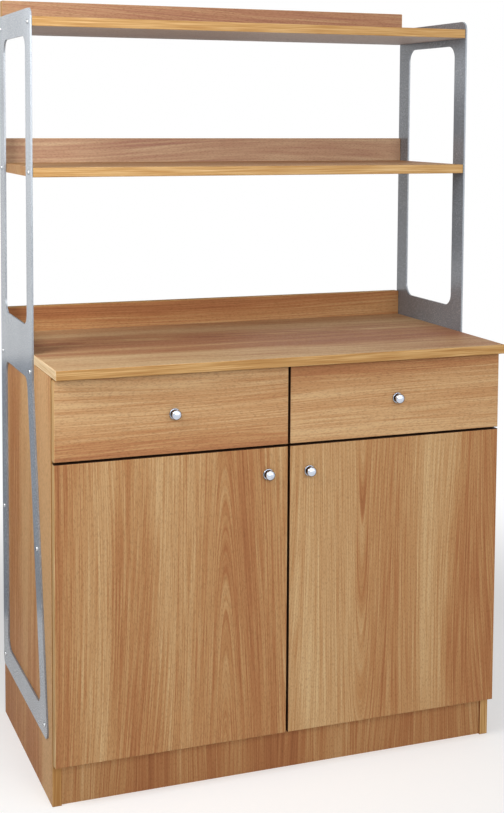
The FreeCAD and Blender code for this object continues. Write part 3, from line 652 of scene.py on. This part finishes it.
@dataclass(frozen=True)
class DrawerBoard:
    """Pale melamine on the drawer boxes: nearly plain and matt, with a faint linen-like print."""

    shade: Stops = ((0.25, "cdc6b8"), (0.5, "d8d2c5"), (0.75, "e2ddd2"))
    warp: Streak = Streak(1.6, 30, 2.0)
    weft: Streak = Streak(40, 1.6, 2.0)
    cloud: Streak = Streak(150, 200, 1.0)
    thread_weight: float = 0.6
    weave_weight: float = 0.8
    cloud_weight: float = 0.6
    relief: Relief = Relief(0.45, 0.6, 0.1, 0.1)
    melamine_ior: float = 1.5

    def material(self) -> Material:
        """Make the pale board's material.

        Returns:
            The material.
        """
        material, tree, shader = new_material("pale_melamine_board")
        place = add_node(tree, "ShaderNodeTexCoord", {}, "Object")
        threads = [(thread.lay(tree, place), self.thread_weight) for thread in (self.warp, self.weft)]
        weave = mixed_tone(tree, threads)
        cloud = self.cloud.lay(tree, place)
        tone = mixed_tone(tree, [(weave, self.weave_weight), (cloud, self.cloud_weight)])
        colour = set_stops(add_node(tree, "ShaderNodeValToRGB", {0: tone}), self.shade)
        surface = self.relief.lay(tree, weave, weave)
        set_inputs(shader, {"Base Color": colour, "IOR": self.melamine_ior, **surface})
        return material


def dress(node: str, material: Material) -> None:
    """Give a node of the frame its finish.

    Args:
        node: Name of the node.
        material: Finish for all of it.
    """
    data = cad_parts[node].data
    data.materials.clear()
    data.materials.append(material)
    log.info("%s wears %s", node, material.name)


@dataclass
class Finishes:
    """Every finish of the station, with the shared materials made once."""

    laminate: PlumLaminate = PlumLaminate()
    silver: Material = field(default_factory=SilverCoat().material)
    chrome: Material = field(default_factory=SATIN_CHROME.material)
    zinc: Material = field(default_factory=ZINC_PLATE.material)
    nickel: Material = field(default_factory=SCREW_NICKEL.material)
    pale: Material = field(default_factory=DrawerBoard().material)

    def clad(self, *boards: Board) -> None:
        """Give boards their laminate."""
        for board in boards:
            dress(board.node, self.laminate.material(board))


def island_boxes(node: str) -> list[Box]:
    """Find the separate solids of a node.

    Args:
        node: Name of the node.

    Returns:
        Lowest and highest corner of each solid, from the lowest solid up.
    """
    work = bmesh.new()
    work.from_mesh(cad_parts[node].data)
    bmesh.ops.remove_doubles(work, verts=work.verts, dist=MERGE_REACH)
    left = set(work.verts)
    boxes = []
    while left:
        reached = [left.pop()]
        for vert in reached:
            fresh = {edge.other_vert(vert) for edge in vert.link_edges} & left
            left -= fresh
            reached.extend(fresh)
        spans = [sorted(vert.co[axis] for vert in reached) for axis in range(3)]
        boxes.append((Vector([s[0] for s in spans]), Vector([s[-1] for s in spans])))
    work.free()
    # Corners are compared to a tenth of a millimetre, by height, then depth, then width.
    return sorted(boxes, key=lambda box: [round(box[0][axis], 4) for axis in (2, 1, 0)])


def put(name: str, data: ID) -> Object:
    """Put data into the scene as an object.

    Args:
        name: Name of the object.
        data: Mesh, light or camera.

    Returns:
        The object.
    """
    made = bpy.data.objects.new(name, data)
    bpy.context.scene.collection.objects.link(made)
    return made


def add_piece(name: str, mesh: Mesh, body: str, slot: str, *nodes: str) -> None:
    """Put a finished mesh into the scene as a piece of the station.

    Args:
        name: Name of the piece.
        mesh: Finished mesh, with its place in it.
        body: Body that it rides on.
        slot: Material slot of the record, not used.
        *nodes: Nodes of the frame that it stands for.
    """
    mesh.name = name
    piece = put(name, mesh)
    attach(piece, body)
    if nodes:
        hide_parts(*nodes)
    log.info("%s rides on %s, %d faces", name, body, len(mesh.polygons))


def round_off(mesh: Mesh, sharp_from: float) -> None:
    """Turn a mesh's faces outwards and shade it smooth between its sharp edges.

    Args:
        mesh: Closed mesh.
        sharp_from: Angle in degrees from which an edge stays sharp.
    """
    work = bmesh.new()
    work.from_mesh(mesh)
    bmesh.ops.remove_doubles(work, verts=work.verts, dist=MERGE_REACH)
    bmesh.ops.recalc_face_normals(work, faces=work.faces)
    work.to_mesh(mesh)
    work.free()
    mesh.shade_smooth()
    mesh.set_sharp_from_angle(angle=math.radians(sharp_from))


def even_steps(start: float, end: float, pitch: float) -> list[float]:
    """Divide a length into even steps.

    Args:
        start: First place.
        end: Last place.
        pitch: Wanted distance between neighbours.

    Returns:
        The places, both ends included.
    """
    count = round((end - start) / pitch)
    return [start + (end - start) * number / count for number in range(count + 1)]


@dataclass(frozen=True)
class Screw:
    """A screw: diameter and height of its head and length of its shank in mm, and its recess."""

    head_dia: float
    head_height: float
    shank: float
    recess: Recess = Recess.SQUARE


@dataclass
class ScrewSet:
    """Geometry Nodes tree that sets a screw with a domed head and a driver recess on each point.

    A grid of stations by turns is rolled up into one screw: its first stations are the recess, the
    next ones the dome, and the last ones the shank.
    """

    around: int = 24
    turn_seed: int = 7
    sharp_from: float = 35.0
    # Radius, as a share of the head's, and rise, as a share of its height, at each station.
    stations: tuple[tuple[float, float], ...] = (
        (0.0, 0.35), (0.4, 0.35), (0.4, 0.95), (0.5, 1.0), (0.61, 0.965), (0.72, 0.9), (0.81, 0.8),
        (0.89, 0.66), (0.95, 0.49), (0.985, 0.31), (1.0, 0.14), (1.0, 0.0), (0.5, 0.0), (0.5, 0.0),
        (0.3, 0.0), (0.0, 0.0),
    )
    # Depth below the head, as a share of the shank's length, at each station.
    shank_shares: tuple[float, ...] = (0.0,) * 13 + (0.88, 1.0, 1.0)
    # Number of the recess's last station.
    recess_last: int = 2
    tree: NodeTree = field(init=False)
    sockets: dict[str, str] = field(init=False, default_factory=dict)

    def __post_init__(self) -> None:
        """Build the tree once, for every set of screws."""
        tree = self.tree = bpy.data.node_groups.new("domed_screws", "GeometryNodeTree")
        kinds = {
            "Points": "Geometry", "Head diameter": "Float", "Head height": "Float",
            "Shank length": "Float", "Recess corners": "Float", "Facing": "Vector",
            "Turn seed": "Int", "Metal": "Material",
        }
        for name, kind in kinds.items():
            made = tree.interface.new_socket(name, in_out="INPUT", socket_type=f"NodeSocket{kind}")
            self.sockets[name] = made.identifier
        tree.interface.new_socket("Screws", in_out="OUTPUT", socket_type="NodeSocketGeometry")
        given = {socket.name: socket for socket in add_node(tree, "NodeGroupInput", {}).node.outputs}
        limits = {2: 0.0, 3: math.tau, "Seed": given["Turn seed"]}
        spin = add_node(tree, "FunctionNodeRandomValue", limits, 1, data_type="FLOAT")
        upright = add_node(tree, "ShaderNodeCombineXYZ", {2: spin})
        own = add_node(tree, "FunctionNodeEulerToRotation", {0: upright})
        facing = add_node(tree, "FunctionNodeEulerToRotation", {0: given["Facing"]})
        turns = {0: facing, 1: own}
        turned = add_node(tree, "FunctionNodeRotateRotation", turns, rotation_space="LOCAL")
        seats = {"Points": given["Points"], "Instance": self.one_screw(given), "Rotation": turned}
        placed = add_node(tree, "GeometryNodeInstanceOnPoints", seats)
        real = add_node(tree, "GeometryNodeRealizeInstances", {0: placed})
        plated = {"Geometry": real, "Material": given["Metal"]}
        dressed = add_node(tree, "GeometryNodeSetMaterial", plated)
        set_inputs(tree.nodes.new("NodeGroupOutput"), {0: dressed})

    def outline(self, along: NodeSocket, shares: Sequence[float]) -> NodeSocket:
        """Add a value that runs straight from station to station.

        Args:
            along: Place along the stations, from 0 to 1.
            shares: Value at each station, from 0 to 1.

        Returns:
            The value.
        """
        value = add_node(self.tree, "ShaderNodeFloatCurve", {"Value": along})
        mapping = value.node.mapping
        points = mapping.curves[0].points
        while len(points) < len(shares):
            points.new(1.0, 1.0)
        for number, share in enumerate(shares):
            points[number].location = (number / (len(shares) - 1), share)
            points[number].handle_type = "VECTOR"
        mapping.update()
        return value

    def one_screw(self, given: Mapping[str, NodeSocket]) -> NodeSocket:
        """Roll the grid up into one screw that looks up, its head's underside at zero.

        Args:
            given: The tree's inputs by name.

        Returns:
            The screw's geometry.
        """
        tree, count = self.tree, len(self.stations)
        sizes = {"Size X": 1.0, "Size Y": 1.0, "Vertices X": count, "Vertices Y": self.around + 1}
        grid = add_node(tree, "GeometryNodeMeshGrid", sizes)
        spot = add_node(tree, "GeometryNodeInputPosition", {})
        x, y, _ = add_node(tree, "ShaderNodeSeparateXYZ", {0: spot}).node.outputs
        # The grid reaches half its size either way, and the stations run from 0 to 1.
        along = add_node(tree, "ShaderNodeMath", {0: x, 1: 0.5}, operation="ADD")
        made = {
            **given,
            "along": along,
            "turn": y,
            "radius share": self.outline(along, [radius for radius, _ in self.stations]),
            "rise share": self.outline(along, [rise for _, rise in self.stations]),
            "shank share": self.outline(along, self.shank_shares),
        }
        # Each row names a sum, its operation and its terms, which are numbers or names from above it.
        sums = (
            ("angle", "MULTIPLY", "turn", math.tau),
            ("head radius", "MULTIPLY", "Head diameter", 0.5),
            ("round reach", "MULTIPLY", "radius share", "head radius"),
            ("step", "DIVIDE", math.tau, "Recess corners"),
            ("half step", "MULTIPLY", "step", 0.5),
            ("in step", "FLOORED_MODULO", "angle", "step"),
            ("off flat", "SUBTRACT", "in step", "half step"),
            ("flat share", "COSINE", "off flat"),
            ("corner", "DIVIDE", 1.0, "flat share"),
            ("past round", "SUBTRACT", "corner", 1.0),
            ("in recess", "LESS_THAN", "along", (self.recess_last + 0.5) / (count - 1)),
            ("stretch", "MULTIPLY_ADD", "past round", "in recess", 1.0),
            ("reach", "MULTIPLY", "round reach", "stretch"),
            ("cosine", "COSINE", "angle"),
            ("sine", "SINE", "angle"),
            ("rise", "MULTIPLY", "rise share", "Head height"),
            ("sink", "MULTIPLY", "shank share", "Shank length"),
            ("x", "MULTIPLY", "reach", "cosine"),
            ("y", "MULTIPLY", "reach", "sine"),
            ("z", "SUBTRACT", "rise", "sink"),
        )
        for name, operation, *terms in sums:
            values = {number: made.get(term, term) for number, term in enumerate(terms)}
            made[name] = add_node(tree, "ShaderNodeMath", values, operation=operation)
        rolled = add_node(tree, "ShaderNodeCombineXYZ", {0: made["x"], 1: made["y"], 2: made["z"]})
        shell = add_node(tree, "GeometryNodeSetPosition", {"Geometry": grid, "Position": rolled})
        seams = {"Geometry": shell, "Distance": MERGE_REACH}
        return add_node(tree, "GeometryNodeMergeByDistance", seams)

    def drive(
        self,
        name: str,
        body: str,
        spots: Sequence[Vector],
        screw: Screw,
        facing: Facing,
        metal: Material,
        *nodes: str,
    ) -> None:
        """Set screws as one piece of the station.

        Args:
            name: Name of the piece.
            body: Body that it rides on.
            spots: Place of each head's underside, in metres.
            screw: Kind of screw.
            facing: Way that the heads look.
            metal: Finish of the screws.
            *nodes: Nodes of the frame that it stands for.
        """
        points = bpy.data.meshes.new("screw_points")
        points.from_pydata([tuple(spot) for spot in spots], [], [])
        carrier = put("screw_points", points)
        modifier = carrier.modifiers.new("screws", "NODES")
        modifier.node_group = self.tree
        values = {
            "Head diameter": screw.head_dia * MM, "Head height": screw.head_height * MM,
            "Shank length": screw.shank * MM, "Recess corners": float(screw.recess.value),
            "Facing": facing.value, "Turn seed": self.turn_seed, "Metal": metal,
        }
        for socket, value in values.items():
            modifier[self.sockets[socket]] = value
        bpy.context.view_layer.update()
        evaluated = carrier.evaluated_get(bpy.context.evaluated_depsgraph_get())
        mesh = bpy.data.meshes.new_from_object(evaluated)
        carrier.modifiers.remove(modifier)
        bpy.data.objects.remove(carrier)
        bpy.data.meshes.remove(points)
        round_off(mesh, self.sharp_from)
        add_piece(name, mesh, body, "bright_steel", *nodes)


def quarter_turn(steps: int) -> list[tuple[float, float]]:
    """List the cosine and sine of even steps through a quarter turn."""
    angles = [math.pi / 2 * step / steps for step in range(steps + 1)]
    return [(math.cos(angle), math.sin(angle)) for angle in angles]


@dataclass
class Knob:
    """Turned knob on a front: a rose, a slim neck and a domed head, with sizes in mm."""

    node: str
    body: str
    rose_dia: float = 23.0
    rose_thick: float = 3.0
    rose_rim: float = 1.2
    neck_dia: float = 9.0
    neck_foot: float = 1.2
    head_from: float = 7.8
    widest: float = 10.2
    straight: float = 3.0
    head_dia: float = 20.6
    reach: float = 18.8
    segments: int = 64
    arc_steps: int = 6
    dome_steps: int = 14
    sharp_from: float = 50.0

    def profile(self) -> list[tuple[float, float]]:
        """List the outline from the middle of the rose's foot to the middle of the face.

        Returns:
            Radius and distance from the front, in mm.
        """
        rose, neck, head = self.rose_dia / 2, self.neck_dia / 2, self.head_dia / 2
        rim, foot, thick = self.rose_rim, self.neck_foot, self.rose_thick
        under = self.widest - self.head_from
        brow = self.widest + self.straight
        arc = quarter_turn(self.arc_steps)
        line = [(0.0, 0.0), (rose, 0.0)]
        line += [(rose - rim * (1 - cos), thick - rim * (1 - sin)) for cos, sin in arc]
        line += [(neck + foot * (1 - sin), thick + foot * (1 - cos)) for cos, sin in arc]
        line += [(neck + (head - neck) * sin, self.widest - under * cos) for cos, sin in arc]
        dome = quarter_turn(self.dome_steps)[:-1]
        line += [(head * cos, brow + (self.reach - brow) * sin) for cos, sin in dome]
        return line + [(0.0, self.reach)]

    def build(self, chrome: Material) -> None:
        """Turn the knob and set it on its front.

        Args:
            chrome: Finish of the knob.
        """
        low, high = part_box(self.node)
        seat = Vector(((low.x + high.x) / 2, high.y, (low.z + high.z) / 2))
        work = bmesh.new()
        spots = [seat + Vector((radius, -out, 0.0)) * MM for radius, out in self.profile()]
        line = [work.verts.new(spot) for spot in spots]
        edges = [work.edges.new(ends) for ends in zip(line, line[1:])]
        bmesh.ops.spin(
            work, geom=line + edges, cent=seat, axis=(0.0, 1.0, 0.0), angle=math.tau,
            steps=self.segments, use_merge=True,
        )
        mesh = bpy.data.meshes.new(self.node)
        work.to_mesh(mesh)
        work.free()
        mesh.materials.append(chrome)
        round_off(mesh, self.sharp_from)
        add_piece(f"{self.node}_turned", mesh, self.body, "satin_chrome", self.node)


@dataclass
class Carcass:
    """Base cabinet: boards, worktop, inner shelves, shelf pins and screws, with sizes in mm."""

    finishes: Finishes
    screws: ScrewSet
    boards: tuple[Board, ...] = (
        # Painted light and shade: the left side panel pales and warms towards its front and darkens
        # towards its foot, and its front edge is darker.
        Board(
            "left_side_panel", Grain.UPRIGHT, (Face.FRONT,), 41, -0.04,
            painted_light_and_drifts=((Face.FRONT, 0.48), (Face.UNDER, -0.3)), edge_painted_light=((Face.FRONT, -0.2),),
            contrast=2.4, painted_haze=PaintedHaze(0.3, "ea9f5c"),
        ),
        Board("right_side_panel", Grain.UPRIGHT, (Face.FRONT,), 2),
        Board("bottom_panel", Grain.LEVEL, (Face.FRONT,), 3),
        # The plinth is darker as painted shade under the fronts' overhang.
        Board("plinth", Grain.UPRIGHT, (), 85, -0.12),
        Board("back_panel", Grain.UPRIGHT, (), 5),
        Board("front_stretcher", Grain.LEVEL, (Face.FRONT,), 6),
        Board("rear_stretcher", Grain.LEVEL, (), 7),
        Board("centre_partition", Grain.UPRIGHT, (Face.FRONT,), 8),
        # Painted light on the worktop's left end and its end edge, and a faint painted sheen.
        Board(
            "worktop", Grain.LEVEL, (Face.FRONT, Face.LEFT, Face.RIGHT), 88,
            painted_light_and_drifts=((Face.LEFT, 0.12),), edge_painted_light=((Face.LEFT, 0.46),),
            contrast=1.7, painted_haze=PaintedHaze(0.05, "b4b4c6"),
        ),
        # The worktop's upstand is darker as painted shade under the shelves.
        Board("worktop_upstand", Grain.LEVEL, (Face.TOP, Face.LEFT, Face.RIGHT), 63, -0.18),
        Board("left_inner_shelf", Grain.LEVEL, (Face.FRONT,), 11),
        Board("right_inner_shelf", Grain.LEVEL, (Face.FRONT,), 12),
    )
    zinc_nodes: tuple[str, ...] = ("left_shelf_pins", "right_shelf_pins", "worktop_screws")
    back_screw: Screw = Screw(7.0, 1.6, 25.0)
    back_screw_inset: float = 30.0
    back_screw_pitch: float = 150.0

    def build(self) -> None:
        """Dress the boards, the shelf pins and the worktop's screws, and screw the back panel on."""
        self.finishes.clad(*self.boards)
        for node in self.zinc_nodes:
            dress(node, self.finishes.zinc)
        self.screw_back()

    def screw_back(self) -> None:
        """Set screws through the back panel into the bottom panel, the stretcher and the partition."""
        low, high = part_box("back_panel")
        beams = ("bottom_panel", "rear_stretcher")
        rows = [sum(corner.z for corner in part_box(node)) / 2 for node in beams]
        inset = self.back_screw_inset * MM
        pitch = self.back_screw_pitch * MM
        columns = even_steps(low.x + inset, high.x - inset, pitch)
        spots = [Vector((x, high.y, z)) for z in rows for x in columns]
        spots += [Vector((0.0, high.y, z)) for z in even_steps(*rows, pitch)[1:-1]]
        zinc = self.finishes.zinc
        self.screws.drive("back_panel_screws", "carcass", spots, self.back_screw, Facing.REAR, zinc)


@dataclass
class ShelfRack:
    """Two open shelves with their upstands."""

    finishes: Finishes
    boards: tuple[Board, ...] = (
        Board("middle_shelf", Grain.LEVEL, (Face.FRONT,), 13, edge_painted_light=((Face.FRONT, 0.08),)),
        # The middle upstand is lighter, with a grey veil, as painted light and painted sheen.
        Board(
            "middle_shelf_upstand", Grain.LEVEL, (Face.TOP, Face.LEFT, Face.RIGHT), 82, 0.1,
            painted_haze=PaintedHaze(0.16, "b4b4c6"),
        ),
        # Painted light and painted reflection: the top shelf's underside is paler and greyer.
        Board(
            "top_shelf", Grain.LEVEL, (Face.FRONT,), 15, painted_light_and_drifts=((Face.UNDER, 0.5),),
            edge_painted_light=((Face.FRONT, 0.05),), painted_haze=PaintedHaze(0.6, "dcdae2", Face.UNDER),
        ),
        # Painted sheen: a faint grey veil on the top upstand.
        Board(
            "top_shelf_upstand", Grain.LEVEL, (Face.TOP, Face.LEFT, Face.RIGHT), 16,
            painted_haze=PaintedHaze(0.1, "b4b4c6"),
        ),
    )

    def build(self) -> None:
        """Dress the shelves and upstands."""
        self.finishes.clad(*self.boards)


@dataclass
class SideFrame:
    """Coated plate at one end, with the ten screws that hold it."""

    side: Side
    finishes: Finishes
    screws: ScrewSet
    screw: Screw = Screw(10.0, 3.0, 20.0, Recess.HEXAGON)

    def build(self) -> None:
        """Coat the plate and set its screws."""
        plate = f"{self.side.value}_side_frame"
        screws = f"{self.side.value}_frame_screws"
        dress(plate, self.finishes.silver)
        end, facing = (0, Facing.LEFT) if self.side is Side.LEFT else (1, Facing.RIGHT)
        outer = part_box(plate)[end].x
        middles = [(low + high) / 2 for low, high in island_boxes(screws)]
        spots = [Vector((outer, middle.y, middle.z)) for middle in middles]
        nickel = self.finishes.nickel
        self.screws.drive(f"{screws}_domed", "carcass", spots, self.screw, facing, nickel, screws)


# Fronts of the left and the right half, each with its own cut of the decor. Their edges that face a gap
# are coloured dark as painted shade, and their outer edges paler as painted light; each drawer front
# darkens towards one edge and takes a warm pink over its print.
DRAWER_FRONTS = (
    Board(
        "left_drawer_front", Grain.LEVEL, (Face.LEFT, Face.TOP), 81, 0.19, (Face.RIGHT, Face.UNDER),
        painted_light_and_drifts=((Face.UNDER, -0.3),), edge_painted_light=((Face.LEFT, 0.14),),
        contrast=1.2, painted_haze=PaintedHaze(0.2, "d09a70"),
    ),
    Board(
        "right_drawer_front", Grain.LEVEL, (Face.RIGHT, Face.TOP), 9, 0.17, (Face.LEFT, Face.UNDER),
        painted_light_and_drifts=((Face.TOP, -0.3),), edge_painted_light=((Face.RIGHT, 0.14),),
        contrast=1.2, painted_haze=PaintedHaze(0.2, "d09a70"),
    ),
)
DOOR_LEAVES = (
    Board(
        "left_door", Grain.UPRIGHT, (Face.LEFT, Face.UNDER), 41, -0.07, (Face.RIGHT, Face.TOP),
        edge_painted_light=((Face.LEFT, 0.14),), arch=Arch(-0.14, 0.0, 0.04),
    ),
    Board(
        "right_door", Grain.UPRIGHT, (Face.RIGHT, Face.UNDER), 22, 0.1, (Face.LEFT, Face.TOP),
        edge_painted_light=((Face.RIGHT, 0.14),), arch=Arch(0.17, 0.78, 0.04),
    ),
)


@dataclass
class Drawer:
    """Drawer of one half: its front, box, knob and rails."""

    side: Side
    front: Board
    finishes: Finishes
    box_parts: tuple[str, ...] = ("outer_side", "inner_side", "inner_front", "back", "bottom")
    zinc_parts: tuple[str, ...] = ("cabinet_rails", "middle_rails", "drawer_rails", "drawer_knob_screw")

    def build(self) -> None:
        """Dress the drawer and turn its knob."""
        half = self.side.value
        self.finishes.clad(self.front)
        for part in self.box_parts:
            dress(f"{half}_drawer_{part}", self.finishes.pale)
        for part in self.zinc_parts:
            dress(f"{half}_{part}", self.finishes.zinc)
        Knob(f"{half}_drawer_knob", f"{half}_drawer").build(self.finishes.chrome)


@dataclass
class Door:
    """Door of one half: its leaf, knob and concealed hinges, with sizes in mm."""

    side: Side
    leaf: Board
    finishes: Finishes
    screws: ScrewSet
    zinc_parts: tuple[str, ...] = (
        "hinge_cups", "hinge_pins", "hinge_arms", "hinge_plates", "door_knob_screw",
    )
    cup_screw: Screw = Screw(6.4, 1.2, 9.0)
    cup_screw_spread: float = 24.0
    plate_screw: Screw = Screw(7.4, 1.6, 9.0)
    plate_screw_spread: float = 16.0
    plate_screw_line: float = 29.0

    def build(self) -> None:
        """Dress the door, turn its knob and screw its hinges on."""
        half = self.side.value
        self.finishes.clad(self.leaf)
        for part in self.zinc_parts:
            dress(f"{half}_{part}", self.finishes.zinc)
        Knob(f"{half}_door_knob", f"{half}_door").build(self.finishes.chrome)
        self.screw_hinges()

    def screw_hinges(self) -> None:
        """Set two screws through the ears of each hinge cup and the wings of each hinge plate."""
        half = self.side.value
        inner, facing = (1, Facing.RIGHT) if self.side is Side.LEFT else (0, Facing.LEFT)
        cups, plates = (island_boxes(f"{half}_hinge_{part}") for part in ("cups", "plates"))
        line = self.plate_screw_line * MM
        ears = [((low.x + high.x) / 2, high.y, (low.z + high.z) / 2) for low, high in cups]
        wings = [(box[inner].x, box[0].y + line, (box[0].z + box[1].z) / 2) for box in plates]
        rows = (
            ("cup", f"{half}_door", ears, self.cup_screw_spread, self.cup_screw, Facing.REAR),
            ("plate", "carcass", wings, self.plate_screw_spread, self.plate_screw, facing),
        )
        for part, body, seats, spread, screw, look in rows:
            spots = [Vector((x, y, z + way * spread * MM)) for x, y, z in seats for way in (-1, 1)]
            name = f"{half}_hinge_{part}_screws"
            self.screws.drive(name, body, spots, screw, look, self.finishes.zinc)


@dataclass(frozen=True)
class Lamp:
    """A soft box: its place, aim, size in metres and power in watts."""

    name: str
    place: tuple[float, float, float]
    aim: tuple[float, float, float]
    size: tuple[float, float]
    power: float


@dataclass(frozen=True)
class Flag:
    """A card that only gloss sees: its lower right corner, width and height in metres, and shade."""

    name: str
    corner: tuple[float, float, float]
    size: tuple[float, float]
    shade: str


@dataclass
class Studio:
    """White sweep, soft boxes, flags and camera, with sizes in metres."""

    floor_half: float = 14.0
    floor_steps: int = 2
    floor_shade: str = "d8d8d8"
    # Glow that brings the floor up to white for the rays that see it.
    floor_lift: float = 0.36
    # The shadow fades out between these distances from the station.
    shadow_reach: tuple[float, float] = (1.0, 2.2)
    white: str = "ffffff"
    room_light: float = 0.26
    lamps: tuple[Lamp, ...] = (
        Lamp("front_box", (-0.2, -4.0, 2.2), (0.0, 0.0, 0.85), (2.2, 2.2), 70.0),
        Lamp("right_box", (1.8, -3.6, 2.0), (0.0, 0.0, 0.85), (2.4, 2.4), 26.0),
        Lamp("end_box", (-1.4, -0.6, 1.8), (-0.5, 0.0, 1.1), (0.8, 0.8), 18.0),
        Lamp("top_box", (0.0, -0.9, 3.6), (0.0, 0.0, 0.8), (2.2, 1.6), 14.0),
    )
    # The left end's foot and the right frame's inner face mirror these in place of the white room.
    flags: tuple[Flag, ...] = (
        Flag("end_flag", (-0.46, 0.9, 0.0), (2.0, 0.72), "a0a6b0"),
        Flag("frame_flag", (0.2, 0.6, 1.0), (0.62, 0.46), "3c383a"),
    )
    # The camera's place, its angles in degrees, and the photograph's size and focal length in pixels.
    eye: tuple[float, float, float] = (-1.1080, -2.9278, 1.3894)
    yaw: float = 20.863
    pitch: float = 4.471
    roll: float = -0.324
    image: tuple[int, int] = (504, 813)
    focal_pixels: float = 1410.9
    sensor: float = 36.0
    shift_y: float = -0.22

    def build(self) -> None:
        """Set up the room, the light and the camera."""
        self.lay_floor()
        self.light_room()
        for lamp in self.lamps:
            self.hang(lamp)
        for flag in self.flags:
            self.stand(flag)
        self.set_camera()
        bpy.context.scene.view_settings.view_transform = "Standard"

    def seen_rays(self, tree: NodeTree) -> NodeSocket:
        """Add the mask of the rays that see the white background.

        Args:
            tree: Node tree of the floor or the world.

        Returns:
            1 for camera, glossy and transmission rays, and 0 for the others.
        """
        path = add_node(tree, "ShaderNodeLightPath", {}).node.outputs
        seen = path["Is Camera Ray"]
        for kind in ("Is Glossy Ray", "Is Transmission Ray"):
            seen = add_node(tree, "ShaderNodeMath", {0: seen, 1: path[kind]}, operation="MAXIMUM")
        return seen

    def stage(self, name: str, mesh: Mesh, material: Material) -> Object:
        """Put a mesh into the scene that isn't part of the station.

        Args:
            name: Name of its object.
            mesh: The mesh.
            material: Its finish.

        Returns:
            The object.
        """
        mesh.materials.append(material)
        staged = put(name, mesh)
        return staged

    def lay_floor(self) -> None:
        """Lay a plain white floor that keeps the station's shadow."""
        mesh = bpy.data.meshes.new("white_floor")
        work = bmesh.new()
        steps = self.floor_steps
        bmesh.ops.create_grid(work, x_segments=steps, y_segments=steps, size=self.floor_half)
        work.to_mesh(mesh)
        work.free()
        material, tree, shader = new_material("white_paper_sweep")
        white = linear(self.white)
        seen = self.seen_rays(tree)
        lift = add_node(tree, "ShaderNodeMath", {0: seen, 1: self.floor_lift}, operation="MULTIPLY")
        lit = {"Emission Color": white, "Emission Strength": lift}
        set_inputs(shader, {"Base Color": linear(self.floor_shade), **MATT, **lit})
        place = add_node(tree, "ShaderNodeTexCoord", {}, "Object")
        away = add_node(tree, "ShaderNodeVectorMath", {0: place}, "Value", operation="LENGTH")
        limits = dict(enumerate((away, *self.shadow_reach)))
        clear = add_node(tree, "ShaderNodeMapRange", limits, interpolation_type="SMOOTHSTEP")
        fade = add_node(tree, "ShaderNodeMath", {0: clear, 1: seen}, operation="MULTIPLY")
        glow = add_node(tree, "ShaderNodeEmission", {"Color": white, "Strength": 1.0})
        both = add_node(tree, "ShaderNodeMixShader", {0: fade, 1: shader.outputs[0], 2: glow})
        set_inputs(tree.nodes["Material Output"], {"Surface": both})
        self.stage("white_floor", mesh, material)

    def light_room(self) -> None:
        """Give the room its even light, and a white background to the camera and to gloss."""
        world = bpy.data.worlds.new("white_room")
        world.use_nodes = True
        tree = world.node_tree
        limits = {0: self.seen_rays(tree), 3: self.room_light, 4: 1.0}
        strength = add_node(tree, "ShaderNodeMapRange", limits)
        set_inputs(tree.nodes["Background"], {"Color": linear(self.white), "Strength": strength})
        bpy.context.scene.world = world

    def hang(self, lamp: Lamp) -> None:
        """Hang one soft box and aim it.

        Args:
            lamp: The soft box.
        """
        data = bpy.data.lights.new(lamp.name, "AREA")
        data.shape = "RECTANGLE"
        data.size, data.size_y = lamp.size
        data.energy = lamp.power
        holder = put(lamp.name, data)
        holder.location = lamp.place
        holder.visible_camera = False
        way = Vector(lamp.aim) - Vector(lamp.place)
        holder.rotation_euler = way.to_track_quat("-Z", "Y").to_euler()

    def stand(self, flag: Flag) -> None:
        """Stand one flag up behind the station.

        Args:
            flag: The flag.
        """
        x, y, z = flag.corner
        width, height = flag.size
        corners = [(x, y, z), (x - width, y, z), (x - width, y, z + height), (x, y, z + height)]
        mesh = bpy.data.meshes.new(flag.name)
        mesh.from_pydata(corners, [], [range(len(corners))])
        material, _, shader = new_material(f"{flag.name}_card")
        set_inputs(shader, {"Base Color": linear(flag.shade), **MATT})
        card = self.stage(flag.name, mesh, material)
        card.visible_camera = card.visible_diffuse = False
        card.visible_shadow = card.visible_transmission = False

    def set_camera(self) -> None:
        """Set the camera at the photograph's point of view."""
        yaw, pitch, roll = (math.radians(angle) for angle in (self.yaw, self.pitch, self.roll))
        data = bpy.data.cameras.new("photo_camera")
        data.sensor_width = self.sensor
        data.lens = self.focal_pixels * self.sensor / max(self.image)
        data.shift_y = self.shift_y
        pose = Matrix.Translation(self.eye)
        for angle, axis in ((-yaw, "Z"), (math.pi / 2 - pitch, "X"), (-roll, "Z")):
            pose = pose @ Matrix.Rotation(angle, 4, axis)
        camera = put("photo_camera", data)
        camera.matrix_world = pose
        bpy.context.scene.camera = camera


def main() -> None:
    """Build the station's sub-assemblies in order, then the studio round them."""
    logging.basicConfig(level=logging.INFO, format="%(name)s: %(message)s")
    finishes = Finishes()
    screws = ScrewSet()
    Carcass(finishes, screws).build()
    ShelfRack(finishes).build()
    for side, front, leaf in zip(Side, DRAWER_FRONTS, DOOR_LEAVES):
        SideFrame(side, finishes, screws).build()
        Drawer(side, front, finishes).build()
        Door(side, leaf, finishes, screws).build()
    Studio().build()


if __name__ == "__main__":
    main()
